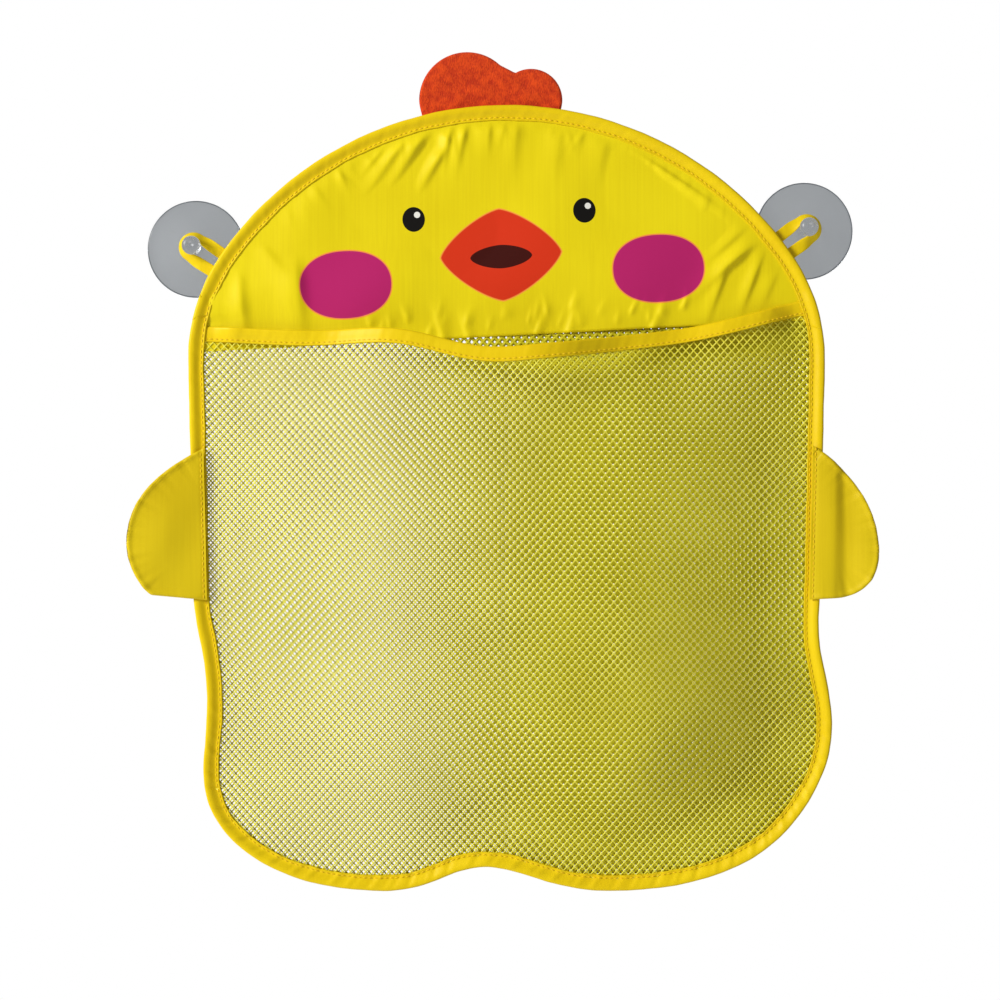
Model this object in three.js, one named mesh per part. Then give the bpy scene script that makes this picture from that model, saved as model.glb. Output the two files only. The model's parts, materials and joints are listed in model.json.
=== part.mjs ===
// Bath toy organizer: a chick-shaped hanging bag with a woven face panel over a net pocket,
// a felt comb, two cloth wings, and two tape loops that each hold a suction cup.
// Millimetres, +Z up, the front faces -Y, and the wall is the plane y = 0.
// The origin lies on the wall, on the middle line of the bag and at the suction cups' mean level.

import * as THREE from "three";
import { TessellateModifier } from "three/addons/modifiers/TessellateModifier.js";

// Outline of the bag, measured down from the top of the dome
const bagHalfWidth = 175;
const shoulderDrop = 140;
const shoulderRadius = 102;
const sideLength = 132;
const sideTaper = 3;
const waistRun = 25;
const waistDepth = 2;
const lobeRun = 53;
const lobeSwell = 2;
const lobeHeight = 82;
const leftLobeBottom = 67;
const rightLobeBottom = 57;
const notchOffset = -13;
const notchRise = 13;
// The filled lower bag leans a little to the right of the middle
const lobeLean = 7;
const leanSpan = 64;

// Edge binding, a tape folded round the edge of every cloth layer
const bindingWidth = 8.5;
const tapeThickness = 0.4;
const foldRound = 1.2;
const bindingJointDrop = 117;
const bindingStep = 13;

// Cloth layers, and the gaps between them in the seam
const netThickness = 0.5;
const panelThickness = 0.4;
const layerGap = 0.25;
const seatGap = 0.3;

// Face panel, whose lower edge is not quite level, and the back net that starts behind it
const panelDrop = 127;
const panelTiltDegrees = 3;
const netOverlap = 8;

// Pocket: its mouth hem hangs between the two side bindings and the net swells forward
const hemLeftDrop = 122;
const hemRightDrop = 108;
const hemSag = 16;
const hemWidth = 8.2;
const hemSlack = 0.9;
const hemSteps = 36;
const pocketDepth = 34;
const mouthDepth = 22;
const pocketSideRun = 100;
const pocketBottomRun = 90;

// Net gaps are diamonds
const netGapPitchAcross = 35;
const netGapPitchUp = 41;
const netStrand = 3;
const netMargin = 2;
const netLongestEdge = 30;
const netSplits = 12;

// Felt comb with a large and a small lobe, sewn behind the binding at the top
const feltThickness = 2;
const combLobeRadius = 26.5;
const combLobeX = -21.7;
const combTipRadius = 17.3;
const combTipX = 13.5;
const combRise = 3.3;
const combFlankDegrees = 50;
const combNotchDegrees = 120;

// Wings, two cloth layers each, sewn over the front of the binding
const leftWingReach = 43.2;
const rightWingReach = 39.4;
const wingHeight = 86;
const wingTipHeight = 28;
const wingBottomRun = 26;
const wingBottomRise = 3;
const wingLayer = 0.5;
const wingFoldPitch = 26;
const leftWingFold = 1.5;
const rightWingFold = 4.5;

// Tape loops, which sit turned a little about the dome, so that the left one is lower
const loopTurnDegrees = 1.7;
const loopReach = 15.8;
const loopTapeWidth = 6.5;
const loopTapeThickness = 1;
const loopLegGap = 4.7;

// Suction cups, one clear moulding each
const cupRadius = 27;
const cupRimWidth = 3.5;
const cupLipThickness = 0.9;
const cupDomeHeight = 7.5;
const cupHollow = 3.4;
const neckRadius = 3.2;
const neckClearance = 0.45;
const headRadius = 6.7;
const headThickness = 5.5;
const cupSegments = 30;

// Points taken along a free curve
const curveSteps = 40;

// Levels of the outline, and the dome that meets both shoulders smoothly
const sideFootDrop = shoulderDrop + sideLength;
const waistDrop = sideFootDrop + waistRun;
const lobeDrop = waistDrop + lobeRun;
const bagHeight = lobeDrop + lobeHeight;
const shoulderX = bagHalfWidth - shoulderRadius;
const domeRadius =
  (shoulderX ** 2 + shoulderDrop ** 2 - shoulderRadius ** 2) / (2 * (shoulderDrop - shoulderRadius));
const shoulderAngle = Math.atan2(domeRadius - shoulderDrop, shoulderX);

// Depths of the layers in the seam, from the wall forward
const neckLength = loopTapeWidth + 2 * neckClearance;
const loopDepth = -(cupDomeHeight + neckLength / 2);
const bindingBack = loopDepth - loopTapeThickness / 2 - layerGap;
const backNetBack = bindingBack - tapeThickness - layerGap;
const panelBack = backNetBack - netThickness - layerGap;
const hemFlapBack = panelBack - panelThickness - layerGap;
const frontNetBack = hemFlapBack - tapeThickness - hemSlack;
const cavityFront = frontNetBack - netThickness - 2 * layerGap;
const bindingFront = cavityFront - tapeThickness;

// A closed solid through stations that all place the same contour, drawn anticlockwise
function loft(contour, stations, place) {
  const positions = [];
  for (const station of stations) {
    for (const corner of contour) {
      positions.push(...place(corner, station).toArray());
    }
  }
  const corners = contour.length;
  const index = [];
  for (let row = 0; row + 1 < stations.length; row += 1) {
    for (let j = 0; j < corners; j += 1) {
      const a = row * corners + j;
      const b = row * corners + ((j + 1) % corners);
      index.push(a, b, b + corners, a, b + corners, a + corners);
    }
  }
  const last = (stations.length - 1) * corners;
  for (const [a, b, c] of THREE.ShapeUtils.triangulateShape(contour, [])) {
    index.push(a, c, b, last + a, last + b, last + c);
  }
  const geometry = new THREE.BufferGeometry();
  geometry.setAttribute("position", new THREE.Float32BufferAttribute(positions, 3));
  geometry.setIndex(index);
  return facingOut(geometry);
}

// Turns a closed geometry's triangles over where they face inward
function facingOut(geometry) {
  const position = geometry.attributes.position;
  const index = geometry.index;
  const corner = (i) => new THREE.Vector3().fromBufferAttribute(position, index.getX(i));
  let volume = 0;
  for (let i = 0; i < index.count; i += 3) {
    volume += corner(i).dot(corner(i + 1).cross(corner(i + 2)));
  }
  if (volume < 0) {
    index.array.reverse();
  }
  return geometry;
}

// A flat cloth layer cut to a pattern, with its back face at the given depth
function clothLayer(shape, thickness, backDepth) {
  const geometry = new THREE.ExtrudeGeometry(shape, { depth: thickness, bevelEnabled: false });
  geometry.rotateX(Math.PI / 2);
  geometry.translate(0, backDepth, 0);
  return geometry;
}

// Half of the outline, from the top of the dome down the right side to the notch
function halfOutline(lobeBottom, notchX) {
  const sideFoot = bagHalfWidth - sideTaper;
  const waist = sideFoot - waistDepth;
  const lobe = waist + lobeSwell;
  const cornerPull = 0.62;
  const notchDrop = bagHeight - notchRise;
  const notchRun = lobeBottom - notchX;
  const path = new THREE.Path();
  path.absarc(0, -domeRadius, domeRadius, Math.PI / 2, shoulderAngle, true);
  path.absarc(shoulderX, -shoulderDrop, shoulderRadius, shoulderAngle, 0, true);
  path.lineTo(sideFoot, -sideFootDrop);
  path.bezierCurveTo(
    sideFoot, -sideFootDrop - waistRun / 2,
    waist, -waistDrop + waistRun / 2,
    waist, -waistDrop,
  );
  path.bezierCurveTo(
    waist, -waistDrop - lobeRun / 2,
    lobe, -lobeDrop + lobeRun / 2,
    lobe, -lobeDrop,
  );
  path.bezierCurveTo(
    lobe, -lobeDrop - cornerPull * lobeHeight,
    lobeBottom + cornerPull * (lobe - lobeBottom), -bagHeight,
    lobeBottom, -bagHeight,
  );
  path.bezierCurveTo(
    lobeBottom - notchRun / 2, -bagHeight,
    notchX + notchRun / 3, -notchDrop,
    notchX, -notchDrop,
  );
  return path;
}

const rightHalf = halfOutline(rightLobeBottom, notchOffset);
const leftHalf = halfOutline(leftLobeBottom, -notchOffset);

// A point of the outline, by side and by the length of edge from the top of the dome
function outlinePoint(side, length) {
  const half = side > 0 ? rightHalf : leftHalf;
  const point = half.getPoint(THREE.MathUtils.clamp(length / half.getLength(), 0, 1));
  const leanDrop = lobeDrop - lobeRun / 4;
  const fromLobe = (-point.y - leanDrop) / leanSpan;
  const lean = Math.abs(fromLobe) < 1 ? lobeLean * Math.cos((fromLobe * Math.PI) / 2) ** 2 : 0;
  return new THREE.Vector2(side * point.x + lean, point.y);
}

// The same point with the direction into the bag there
function outlineStation(side, length) {
  const along = outlinePoint(side, length + 1).sub(outlinePoint(side, length - 1)).normalize();
  const inward = new THREE.Vector2(along.y, -along.x).multiplyScalar(side);
  return { point: outlinePoint(side, length), inward };
}

// The two tapes of the binding run clockwise: one over the dome, one round the lower bag
const jointAngle = Math.asin((shoulderDrop - bindingJointDrop) / shoulderRadius);
const domeLength =
  domeRadius * (Math.PI / 2 - shoulderAngle) + shoulderRadius * (shoulderAngle - jointAngle);

function domeStations() {
  const steps = Math.ceil(domeLength / bindingStep);
  const stations = [];
  for (let i = -steps; i <= steps; i += 1) {
    stations.push(outlineStation(i < 0 ? -1 : 1, (Math.abs(i) / steps) * domeLength));
  }
  return stations;
}

function skirtStations(side) {
  const end = (side > 0 ? rightHalf : leftHalf).getLength();
  const start = domeLength + seatGap;
  const steps = Math.ceil((end - start) / bindingStep);
  const stations = [];
  for (let i = 0; i <= steps; i += 1) {
    stations.push(outlineStation(side, THREE.MathUtils.lerp(start, end, i / steps)));
  }
  return stations;
}

const domeEdge = domeStations();
const skirtEdge = [...skirtStations(1), ...skirtStations(-1).reverse().slice(1)];
const bagEdge = [...domeEdge, ...skirtEdge];

function insetEdge(distance) {
  return bagEdge.map((station) => station.point.clone().addScaledVector(station.inward, distance));
}

// The stretch of a closed edge where a measure is positive, cut exactly where it turns zero
function stretchWhere(edge, measure) {
  const at = (i) => edge[i % edge.length];
  const cut = (a, b) => a.clone().lerp(b, measure(a) / (measure(a) - measure(b)));
  let i = edge.findIndex((point, k) => measure(point) <= 0 && measure(at(k + 1)) > 0);
  const stretch = [cut(at(i), at(i + 1))];
  for (i += 1; measure(at(i)) > 0; i += 1) {
    stretch.push(at(i));
  }
  stretch.push(cut(at(i - 1), at(i)));
  return stretch;
}

// Where a level line crosses a closed edge furthest left and right
function acrossAt(edge, level) {
  const found = [];
  edge.forEach((a, i) => {
    const b = edge[(i + 1) % edge.length];
    if (a.y > level !== b.y > level) {
      found.push(a.x + ((b.x - a.x) * (level - a.y)) / (b.y - a.y));
    }
  });
  return [Math.min(...found), Math.max(...found)];
}

// The lowest level at which an upright line crosses a closed edge
function bottomAt(edge, x) {
  let lowest = Infinity;
  edge.forEach((a, i) => {
    const b = edge[(i + 1) % edge.length];
    if (a.x > x !== b.x > x) {
      lowest = Math.min(lowest, a.y + ((b.y - a.y) * (x - a.x)) / (b.x - a.x));
    }
  });
  return lowest;
}

const clothEdge = insetEdge(foldRound + tapeThickness + seatGap);
const openEdge = insetEdge(bindingWidth);
const gapEdge = insetEdge(bindingWidth + netMargin);
const swellEdge = insetEdge(bindingWidth + 2 * netMargin);

// Lower edge of the face panel
const panelSlope = Math.tan(THREE.MathUtils.degToRad(panelTiltDegrees));
const panelEdgeAt = (x) => -panelDrop + panelSlope * x;

// Top edge of the pocket hem: it hangs low in the middle, and further to the right than the left.
// The sag line's points are shares of the hem's width and of its sag
const hemLeft = acrossAt(openEdge, -hemLeftDrop)[0] + seatGap;
const hemRight = acrossAt(openEdge, -hemRightDrop)[1] - seatGap;
const hemStations = Array.from({ length: hemSteps + 1 }, (_, i) =>
  THREE.MathUtils.lerp(hemLeft, hemRight, i / hemSteps),
);
const sagLine = new THREE.SplineCurve([
  new THREE.Vector2(0, 0),
  new THREE.Vector2(0.16, 0.28),
  new THREE.Vector2(0.32, 0.34),
  new THREE.Vector2(0.5, 1),
  new THREE.Vector2(0.72, 0.84),
  new THREE.Vector2(0.86, 0.58),
  new THREE.Vector2(1, 0),
]).getPoints(curveSteps);

function hemTopAt(x) {
  const share = THREE.MathUtils.clamp((x - hemLeft) / (hemRight - hemLeft), 0, 1);
  const after = Math.max(1, sagLine.findIndex((point) => point.x >= share));
  const [a, b] = [sagLine[after - 1], sagLine[after]];
  const sag = a.y + ((b.y - a.y) * (share - a.x)) / (b.x - a.x);
  return -THREE.MathUtils.lerp(hemLeftDrop, hemRightDrop, share) - hemSag * sag;
}

// How far the pocket's front stands forward: nothing at the binding, most above the bottom
function pocketSwell(x, z) {
  const rise = (distance, run) => THREE.MathUtils.smoothstep(distance, 0, run);
  const [left, right] = acrossAt(swellEdge, z);
  const upShare = (bagHeight + z) / (bagHeight - (hemLeftDrop + hemRightDrop) / 2);
  const depth = THREE.MathUtils.lerp(pocketDepth, mouthDepth, upShare ** 2);
  const sides = rise(x - left, pocketSideRun) * rise(right - x, pocketSideRun);
  return depth * sides * rise(z - bottomAt(swellEdge, x), pocketBottomRun);
}

// Cuts a pattern down to the part inside one diamond, side by side
function insideDiamond(pattern, centre, halfWidth, halfHeight) {
  let kept = pattern;
  for (const [sx, sy] of [[1, 1], [-1, 1], [-1, -1], [1, -1]]) {
    const room = (p) => 1 - (sx * (p.x - centre.x)) / halfWidth - (sy * (p.y - centre.y)) / halfHeight;
    const next = [];
    kept.forEach((a, i) => {
      const b = kept[(i + 1) % kept.length];
      const [ra, rb] = [room(a), room(b)];
      if (ra >= 0) {
        next.push(a);
      }
      if (ra >= 0 !== rb >= 0) {
        next.push(a.clone().lerp(b, ra / (ra - rb)));
      }
    });
    kept = next;
  }
  return kept.filter((p, i) => p.distanceTo(kept[(i + 1) % kept.length]) > seatGap);
}

// A net's pattern: a cloth outline with staggered diamond gaps inside the given field.
// The outline runs clockwise, so each gap runs anticlockwise
function netShape(outline, field) {
  const shape = new THREE.Shape(outline);
  const diagonal = Math.hypot(netGapPitchAcross, netGapPitchUp);
  const opening = 1 - (netStrand * diagonal) / (netGapPitchAcross * netGapPitchUp);
  const [halfWidth, halfHeight] = [(opening * netGapPitchAcross) / 2, (opening * netGapPitchUp) / 2];
  const sliverShare = 1 / 12;
  const smallestGap = sliverShare * 2 * halfWidth * halfHeight;
  const rows = Math.ceil(bagHeight / (netGapPitchUp / 2));
  const columns = Math.ceil(bagHalfWidth / netGapPitchAcross) + 1;
  for (let row = 0; row <= rows; row += 1) {
    for (let column = -columns; column <= columns; column += 1) {
      const centre = new THREE.Vector2(
        (column + (row % 2) / 2) * netGapPitchAcross,
        (row * netGapPitchUp) / 2 - bagHeight,
      );
      const gap = insideDiamond(field, centre, halfWidth, halfHeight);
      if (gap.length > 2 && Math.abs(THREE.ShapeUtils.area(gap)) > smallestGap) {
        shape.holes.push(new THREE.Path(gap.reverse()));
      }
    }
  }
  return shape;
}

// The part of an edge below a line that runs across the bag, closed along that line's stations
function patternBelow(edge, lineAt, stations) {
  const stretch = stretchWhere(edge, (p) => lineAt(p.x) - p.y);
  const [right, left] = [stretch[0].x, stretch[stretch.length - 1].x];
  const between = stations.filter((x) => x > left + seatGap && x < right - seatGap);
  return [...stretch, ...between.map((x) => new THREE.Vector2(x, lineAt(x)))];
}

function facePanel() {
  const outline = stretchWhere(clothEdge, (p) => p.y - panelEdgeAt(p.x));
  return clothLayer(new THREE.Shape(outline), panelThickness, panelBack);
}

function backNet() {
  const outline = patternBelow(clothEdge, (x) => panelEdgeAt(x) + netOverlap, []);
  const field = patternBelow(gapEdge, (x) => panelEdgeAt(x) - netMargin, []);
  return clothLayer(netShape(outline, field), netThickness, backNetBack);
}

function frontNet() {
  const outline = patternBelow(clothEdge, (x) => hemTopAt(x) - tapeThickness - seatGap, hemStations);
  const field = patternBelow(gapEdge, (x) => hemTopAt(x) - hemWidth - netMargin, hemStations);
  const flat = clothLayer(netShape(outline, field), netThickness, frontNetBack);
  const geometry = new TessellateModifier(netLongestEdge, netSplits).modify(flat);
  const position = geometry.attributes.position;
  for (let i = 0; i < position.count; i += 1) {
    position.setY(i, position.getY(i) - pocketSwell(position.getX(i), position.getZ(i)));
  }
  return geometry;
}

// Tape folded over the top edge of the front net
function pocketHem() {
  const back = hemSlack;
  const front = -netThickness - hemSlack;
  const contour = [
    [0, front - tapeThickness],
    [hemWidth, front - tapeThickness],
    [hemWidth, front],
    [tapeThickness, front],
    [tapeThickness, back],
    [hemWidth, back],
    [hemWidth, back + tapeThickness],
    [0, back + tapeThickness],
  ].map(([down, depth]) => new THREE.Vector2(down, depth));
  return loft(contour, hemStations, (corner, x) => {
    const z = hemTopAt(x) - corner.x;
    return new THREE.Vector3(x, frontNetBack + corner.y - pocketSwell(x, z), z);
  });
}

// Tape folded round the cloth edge: two flaps and a rounded fold, open toward the bag
function binding(edge) {
  const foldRise = (bindingBack - bindingFront) / 4;
  const innerFold = foldRound + tapeThickness;
  const middle = (bindingBack + bindingFront) / 2;
  const contour = [
    [bindingWidth, bindingFront],
    [bindingWidth, cavityFront],
    [innerFold, cavityFront],
    [tapeThickness, middle - foldRise],
    [tapeThickness, middle + foldRise],
    [innerFold, bindingBack - tapeThickness],
    [bindingWidth, bindingBack - tapeThickness],
    [bindingWidth, bindingBack],
    [foldRound, bindingBack],
    [0, middle + foldRise],
    [0, middle - foldRise],
    [foldRound, bindingFront],
  ].map(([inset, depth]) => new THREE.Vector2(inset, depth));
  return loft(contour, edge, (corner, station) => {
    const at = station.point.clone().addScaledVector(station.inward, corner.x);
    return new THREE.Vector3(at.x, corner.y, at.y);
  });
}

// Felt cut-out: two round lobes on a tail that follows the dome behind the binding
function comb() {
  const left = combLobeX - combLobeRadius;
  const right = combTipX + combTipRadius;
  const tailRadius = domeRadius - bindingWidth + seatGap;
  const tailAt = (x) => Math.sqrt(tailRadius ** 2 - x ** 2) - domeRadius;
  const tailAngle = (x) => Math.acos(x / tailRadius);
  const flank = THREE.MathUtils.degToRad(combFlankDegrees);
  const notch = THREE.MathUtils.degToRad(combNotchDegrees);
  const shape = new THREE.Shape();
  shape.moveTo(left, tailAt(left));
  shape.lineTo(left, combRise);
  shape.absarc(combLobeX, combRise, combLobeRadius, Math.PI, flank, true);
  shape.absarc(combTipX, combRise, combTipRadius, notch, 0, true);
  shape.lineTo(right, tailAt(right));
  shape.absarc(0, -domeRadius, tailRadius, tailAngle(right), tailAngle(left), false);
  return clothLayer(shape, feltThickness, bindingBack + layerGap + feltThickness);
}

// Height of a sampled curve at a given reach
function heightAt(points, reach) {
  const spans = (p, i) => i > 0 && (p.x - reach) * (points[i - 1].x - reach) <= 0;
  const after = Math.max(1, points.findIndex(spans));
  const [a, b] = [points[after - 1], points[after]];
  return a.y + ((b.y - a.y) * (reach - a.x)) / (b.x - a.x || 1);
}

// One layer of a wing: its base lies on the binding's inner edge, and it may have an upright fold
function wingLayerSolid(side, wingReach, foldDepth, backDepth) {
  // How far the rounded tip's curves run straight, as shares of the wing's measures
  const [cornerLift, tipBelow, tipAbove] = [1.5, 0.57, 0.38];
  const [shoulderReach, shoulderHeight] = [0.4, 0.9];
  const tip = new THREE.Vector2(wingReach, wingTipHeight);
  const corner = new THREE.Vector2(wingBottomRun, wingBottomRise);
  const underside = new THREE.CubicBezierCurve(
    corner,
    new THREE.Vector2((wingBottomRun + wingReach) / 2, wingBottomRise * cornerLift),
    new THREE.Vector2(wingReach, wingTipHeight * tipBelow),
    tip,
  );
  const upper = new THREE.CubicBezierCurve(
    tip,
    new THREE.Vector2(wingReach, THREE.MathUtils.lerp(wingTipHeight, wingHeight, tipAbove)),
    new THREE.Vector2(wingReach * shoulderReach, wingHeight * shoulderHeight),
    new THREE.Vector2(0, wingHeight),
  );
  const low = [new THREE.Vector2(0, 0), ...underside.getPoints(curveSteps)];
  const high = upper.getPoints(curveSteps);
  const up = new THREE.Vector2(side * sideTaper, sideLength).normalize();
  const out = new THREE.Vector2(up.y, -up.x).multiplyScalar(side);
  const footDrop = sideFootDrop - seatGap;
  const foot = new THREE.Vector2(
    side * (bagHalfWidth - (sideTaper * (footDrop - shoulderDrop)) / sideLength - bindingWidth),
    -footDrop,
  );
  const square = [[0, 0], [1, 0], [1, 1], [0, 1]].map(([h, y]) => new THREE.Vector2(h, y));
  const steps = 14;
  const stations = [];
  for (let i = 0; i <= steps; i += 1) {
    stations.push((wingReach - seatGap) * Math.sin(((i / steps) * Math.PI) / 2));
  }
  return loft(square, stations, (cornerShare, reach) => {
    const height = THREE.MathUtils.lerp(heightAt(low, reach), heightAt(high, reach), cornerShare.x);
    const at = foot.clone().addScaledVector(out, reach).addScaledVector(up, height);
    const wave = Math.cos((Math.PI * reach) / wingFoldPitch) ** 2;
    const fold = foldDepth * wave * Math.min(1, reach / bindingWidth);
    return new THREE.Vector3(at.x, backDepth - fold - cornerShare.y * wingLayer, at.y);
  });
}

const wingBackDepth = bindingFront - layerGap;
const wingFrontDepth = wingBackDepth - wingLayer - layerGap;

// The place on the shoulder where a loop leaves the bag, and the way it points
function loopSeat(side) {
  const level = side > 0 ? shoulderAngle : Math.PI - shoulderAngle;
  const angle = level + THREE.MathUtils.degToRad(loopTurnDegrees);
  const out = new THREE.Vector2(Math.cos(angle), Math.sin(angle));
  const seat = new THREE.Vector2(0, -domeRadius).addScaledVector(out, domeRadius);
  return { seat, out };
}

// A tape loop: two flat legs behind the binding that turn on edge round the cup's neck
function loopSolid(side) {
  const { seat, out } = loopSeat(side);
  const across = new THREE.Vector2(-out.y, out.x);
  const eyeRadius = neckRadius + neckClearance + loopTapeThickness / 2;
  const legOffset = (loopLegGap + loopTapeWidth) / 2;
  const tail = bindingWidth - seatGap - foldRound;
  const straightSteps = 12;
  const eyeSteps = 14;
  const path = [];
  const leg = (sign, i) => {
    const share = i / straightSteps;
    const reach = THREE.MathUtils.lerp(-tail, loopReach, share);
    const turn = THREE.MathUtils.smoothstep(reach, 0, loopReach);
    return { reach, offset: sign * THREE.MathUtils.lerp(legOffset, eyeRadius, turn), turn };
  };
  for (let i = 0; i < straightSteps; i += 1) {
    path.push(leg(1, i));
  }
  for (let i = 0; i <= eyeSteps; i += 1) {
    const angle = Math.PI * (0.5 - i / eyeSteps);
    path.push({
      reach: loopReach + eyeRadius * Math.cos(angle),
      offset: eyeRadius * Math.sin(angle),
      turn: 1,
    });
  }
  for (let i = straightSteps - 1; i >= 0; i -= 1) {
    path.push(leg(-1, i));
  }
  const stations = path.map((station, i) => {
    const before = path[Math.max(0, i - 1)];
    const after = path[Math.min(path.length - 1, i + 1)];
    const along = new THREE.Vector2(after.reach - before.reach, after.offset - before.offset).normalize();
    return { ...station, along };
  });
  const [w, t] = [loopTapeWidth / 2, loopTapeThickness / 2];
  const section = [[-w, -t], [w, -t], [w, t], [-w, t]].map(([x, y]) => new THREE.Vector2(x, y));
  return loft(section, stations, (corner, station) => {
    const angle = (station.turn * Math.PI) / 2;
    const sideways = corner.x * Math.cos(angle) - corner.y * Math.sin(angle);
    const deep = corner.x * Math.sin(angle) + corner.y * Math.cos(angle);
    const reach = station.reach - sideways * station.along.y;
    const offset = station.offset + sideways * station.along.x;
    const at = seat.clone().addScaledVector(out, reach).addScaledVector(across, offset);
    return new THREE.Vector3(at.x, loopDepth + deep, at.y);
  });
}

// Suction cup turned about its axis: hollow face on the wall, neck, and a mushroom head
function suctionCup() {
  const neckTop = cupDomeHeight + neckLength;
  const headTop = neckTop + headThickness;
  const innerRim = cupRadius - cupRimWidth;
  // Bends of the profile, as shares of the rim, the disc, the neck and the head
  const [hollowFlat, hollowBend, hollowLow] = [0.55, 0.8, 0.4];
  const [discBend, discRise, neckFlare, flareRise] = [0.75, 0.35, 2.4, 0.9];
  const [headUnder, headSwell, headWidest, headShoulder, headCrown] = [0.9, 0.35, 0.45, 0.8, 0.6];
  const profile = new THREE.Path();
  profile.moveTo(0, cupHollow);
  profile.bezierCurveTo(
    innerRim * hollowFlat, cupHollow,
    innerRim * hollowBend, cupHollow * hollowLow,
    innerRim, 0,
  );
  profile.lineTo(cupRadius, 0);
  profile.lineTo(cupRadius, cupLipThickness);
  profile.bezierCurveTo(
    cupRadius * discBend, cupDomeHeight * discRise,
    neckRadius * neckFlare, cupDomeHeight * flareRise,
    neckRadius, cupDomeHeight,
  );
  profile.lineTo(neckRadius, neckTop);
  profile.lineTo(headRadius * headUnder, neckTop);
  profile.bezierCurveTo(
    headRadius, neckTop,
    headRadius, neckTop + headThickness * headSwell,
    headRadius, neckTop + headThickness * headWidest,
  );
  profile.bezierCurveTo(
    headRadius, neckTop + headThickness * headShoulder,
    headRadius * headCrown, headTop,
    0, headTop,
  );
  const bendSteps = 4;
  const geometry = new THREE.LatheGeometry(profile.getPoints(bendSteps), cupSegments);
  return geometry.rotateX(Math.PI);
}

const yellowCloth = { color: 0xe9cf1c, roughness: 0.62, metalness: 0 };
const yellowTape = { color: 0xeec21d, roughness: 0.6, metalness: 0 };
const yellowNet = { color: 0xe3d345, roughness: 0.7, metalness: 0 };
const orangeFelt = { color: 0xd9521c, roughness: 0.95, metalness: 0 };
const clearVinyl = { color: 0xc9d0d1, roughness: 0.15, metalness: 0, transparent: true, opacity: 0.5 };

const organizer = new THREE.Group();

function addPiece(name, geometry, finish) {
  const mesh = new THREE.Mesh(geometry, new THREE.MeshStandardMaterial(finish));
  mesh.name = name;
  organizer.add(mesh);
  return mesh;
}

addPiece("face_panel", facePanel(), yellowCloth);
addPiece("back_net", backNet(), yellowNet);
addPiece("front_net", frontNet(), yellowNet);
addPiece("pocket_hem", pocketHem(), yellowTape);
addPiece("dome_binding", binding(domeEdge), yellowTape);
addPiece("skirt_binding", binding(skirtEdge), yellowTape);
addPiece("comb", comb(), orangeFelt);
for (const [name, side, reach, fold] of [
  ["left", -1, leftWingReach, leftWingFold],
  ["right", 1, rightWingReach, rightWingFold],
]) {
  addPiece(`${name}_wing_back`, wingLayerSolid(side, reach, fold, wingBackDepth), yellowCloth);
  addPiece(`${name}_wing_front`, wingLayerSolid(side, reach, fold, wingFrontDepth), yellowCloth);
  addPiece(`${name}_loop`, loopSolid(side), yellowTape);
  const cup = addPiece(`${name}_suction_cup`, suctionCup(), clearVinyl);
  const { seat, out } = loopSeat(side);
  cup.position.set(seat.x + out.x * loopReach, 0, seat.y + out.y * loopReach);
}

// The pattern is drawn down from the top of the dome, so it is lifted to the cups' mean level
const cupLevel = (domeRadius + loopReach) * Math.sin(shoulderAngle) - domeRadius;
organizer.position.z = -cupLevel;

export default organizer;
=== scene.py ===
import json
import math

import bpy
import numpy as np
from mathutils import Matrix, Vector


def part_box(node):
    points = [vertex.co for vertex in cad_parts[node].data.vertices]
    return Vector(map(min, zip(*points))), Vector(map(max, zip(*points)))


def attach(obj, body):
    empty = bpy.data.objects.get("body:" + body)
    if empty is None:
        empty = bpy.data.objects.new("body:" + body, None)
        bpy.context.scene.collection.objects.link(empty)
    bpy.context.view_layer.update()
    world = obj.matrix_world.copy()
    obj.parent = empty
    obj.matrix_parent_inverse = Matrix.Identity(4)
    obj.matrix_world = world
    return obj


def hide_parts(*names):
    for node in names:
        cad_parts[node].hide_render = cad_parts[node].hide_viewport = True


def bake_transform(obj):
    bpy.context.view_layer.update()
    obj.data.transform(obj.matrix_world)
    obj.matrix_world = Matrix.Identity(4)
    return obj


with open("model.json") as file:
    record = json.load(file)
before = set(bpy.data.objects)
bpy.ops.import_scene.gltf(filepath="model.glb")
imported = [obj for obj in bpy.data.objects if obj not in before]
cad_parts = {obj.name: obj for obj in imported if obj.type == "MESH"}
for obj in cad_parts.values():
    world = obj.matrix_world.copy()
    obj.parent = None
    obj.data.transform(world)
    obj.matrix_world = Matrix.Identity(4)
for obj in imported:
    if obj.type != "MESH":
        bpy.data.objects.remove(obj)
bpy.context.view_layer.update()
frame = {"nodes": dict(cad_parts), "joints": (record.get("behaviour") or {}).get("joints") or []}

# The sewn edge of the bag: a dome, straight sides with a waist, and two lobes at the bottom.
# Every cloth piece is cut to it. It is read off the fold of the two CAD tapes that go round it,
# as a smooth closed line that starts at the top and runs clockwise as seen from the front.
mm = 0.001
bag_middle_z = -140 * mm
dome_above_z = -90 * mm
lobes_below_z = -240 * mm
station_gap = 3 * mm
edge_steps = 9


def ease(share):
    """Rises smoothly from 0 to 1 as the share does."""
    t = np.clip(share, 0, 1)
    return t * t * (3 - 2 * t)


def rise(value, start, run):
    """Rises smoothly from 0 to 1 while a value goes from a start over a run, in millimetres."""
    return ease((value - start * mm) / (run * mm))


def smooth_loop(points, steps):
    """More points on a smooth closed line through the given ones."""
    before, after, beyond = (np.roll(points, k, axis=0) for k in (1, -1, -2))
    bend = 2 * before - 5 * points + 4 * after - beyond
    twist = 3 * points - before - 3 * after + beyond
    rows = []
    for t in np.linspace(0, 1, steps, endpoint=False):
        rows.append(points + 0.5 * ((after - before) * t + bend * t**2 + twist * t**3))
    return np.stack(rows, axis=1).reshape(-1, points.shape[1])


def corners_of(node):
    return np.array([v.co for v in frame["nodes"][node].data.vertices])


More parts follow.
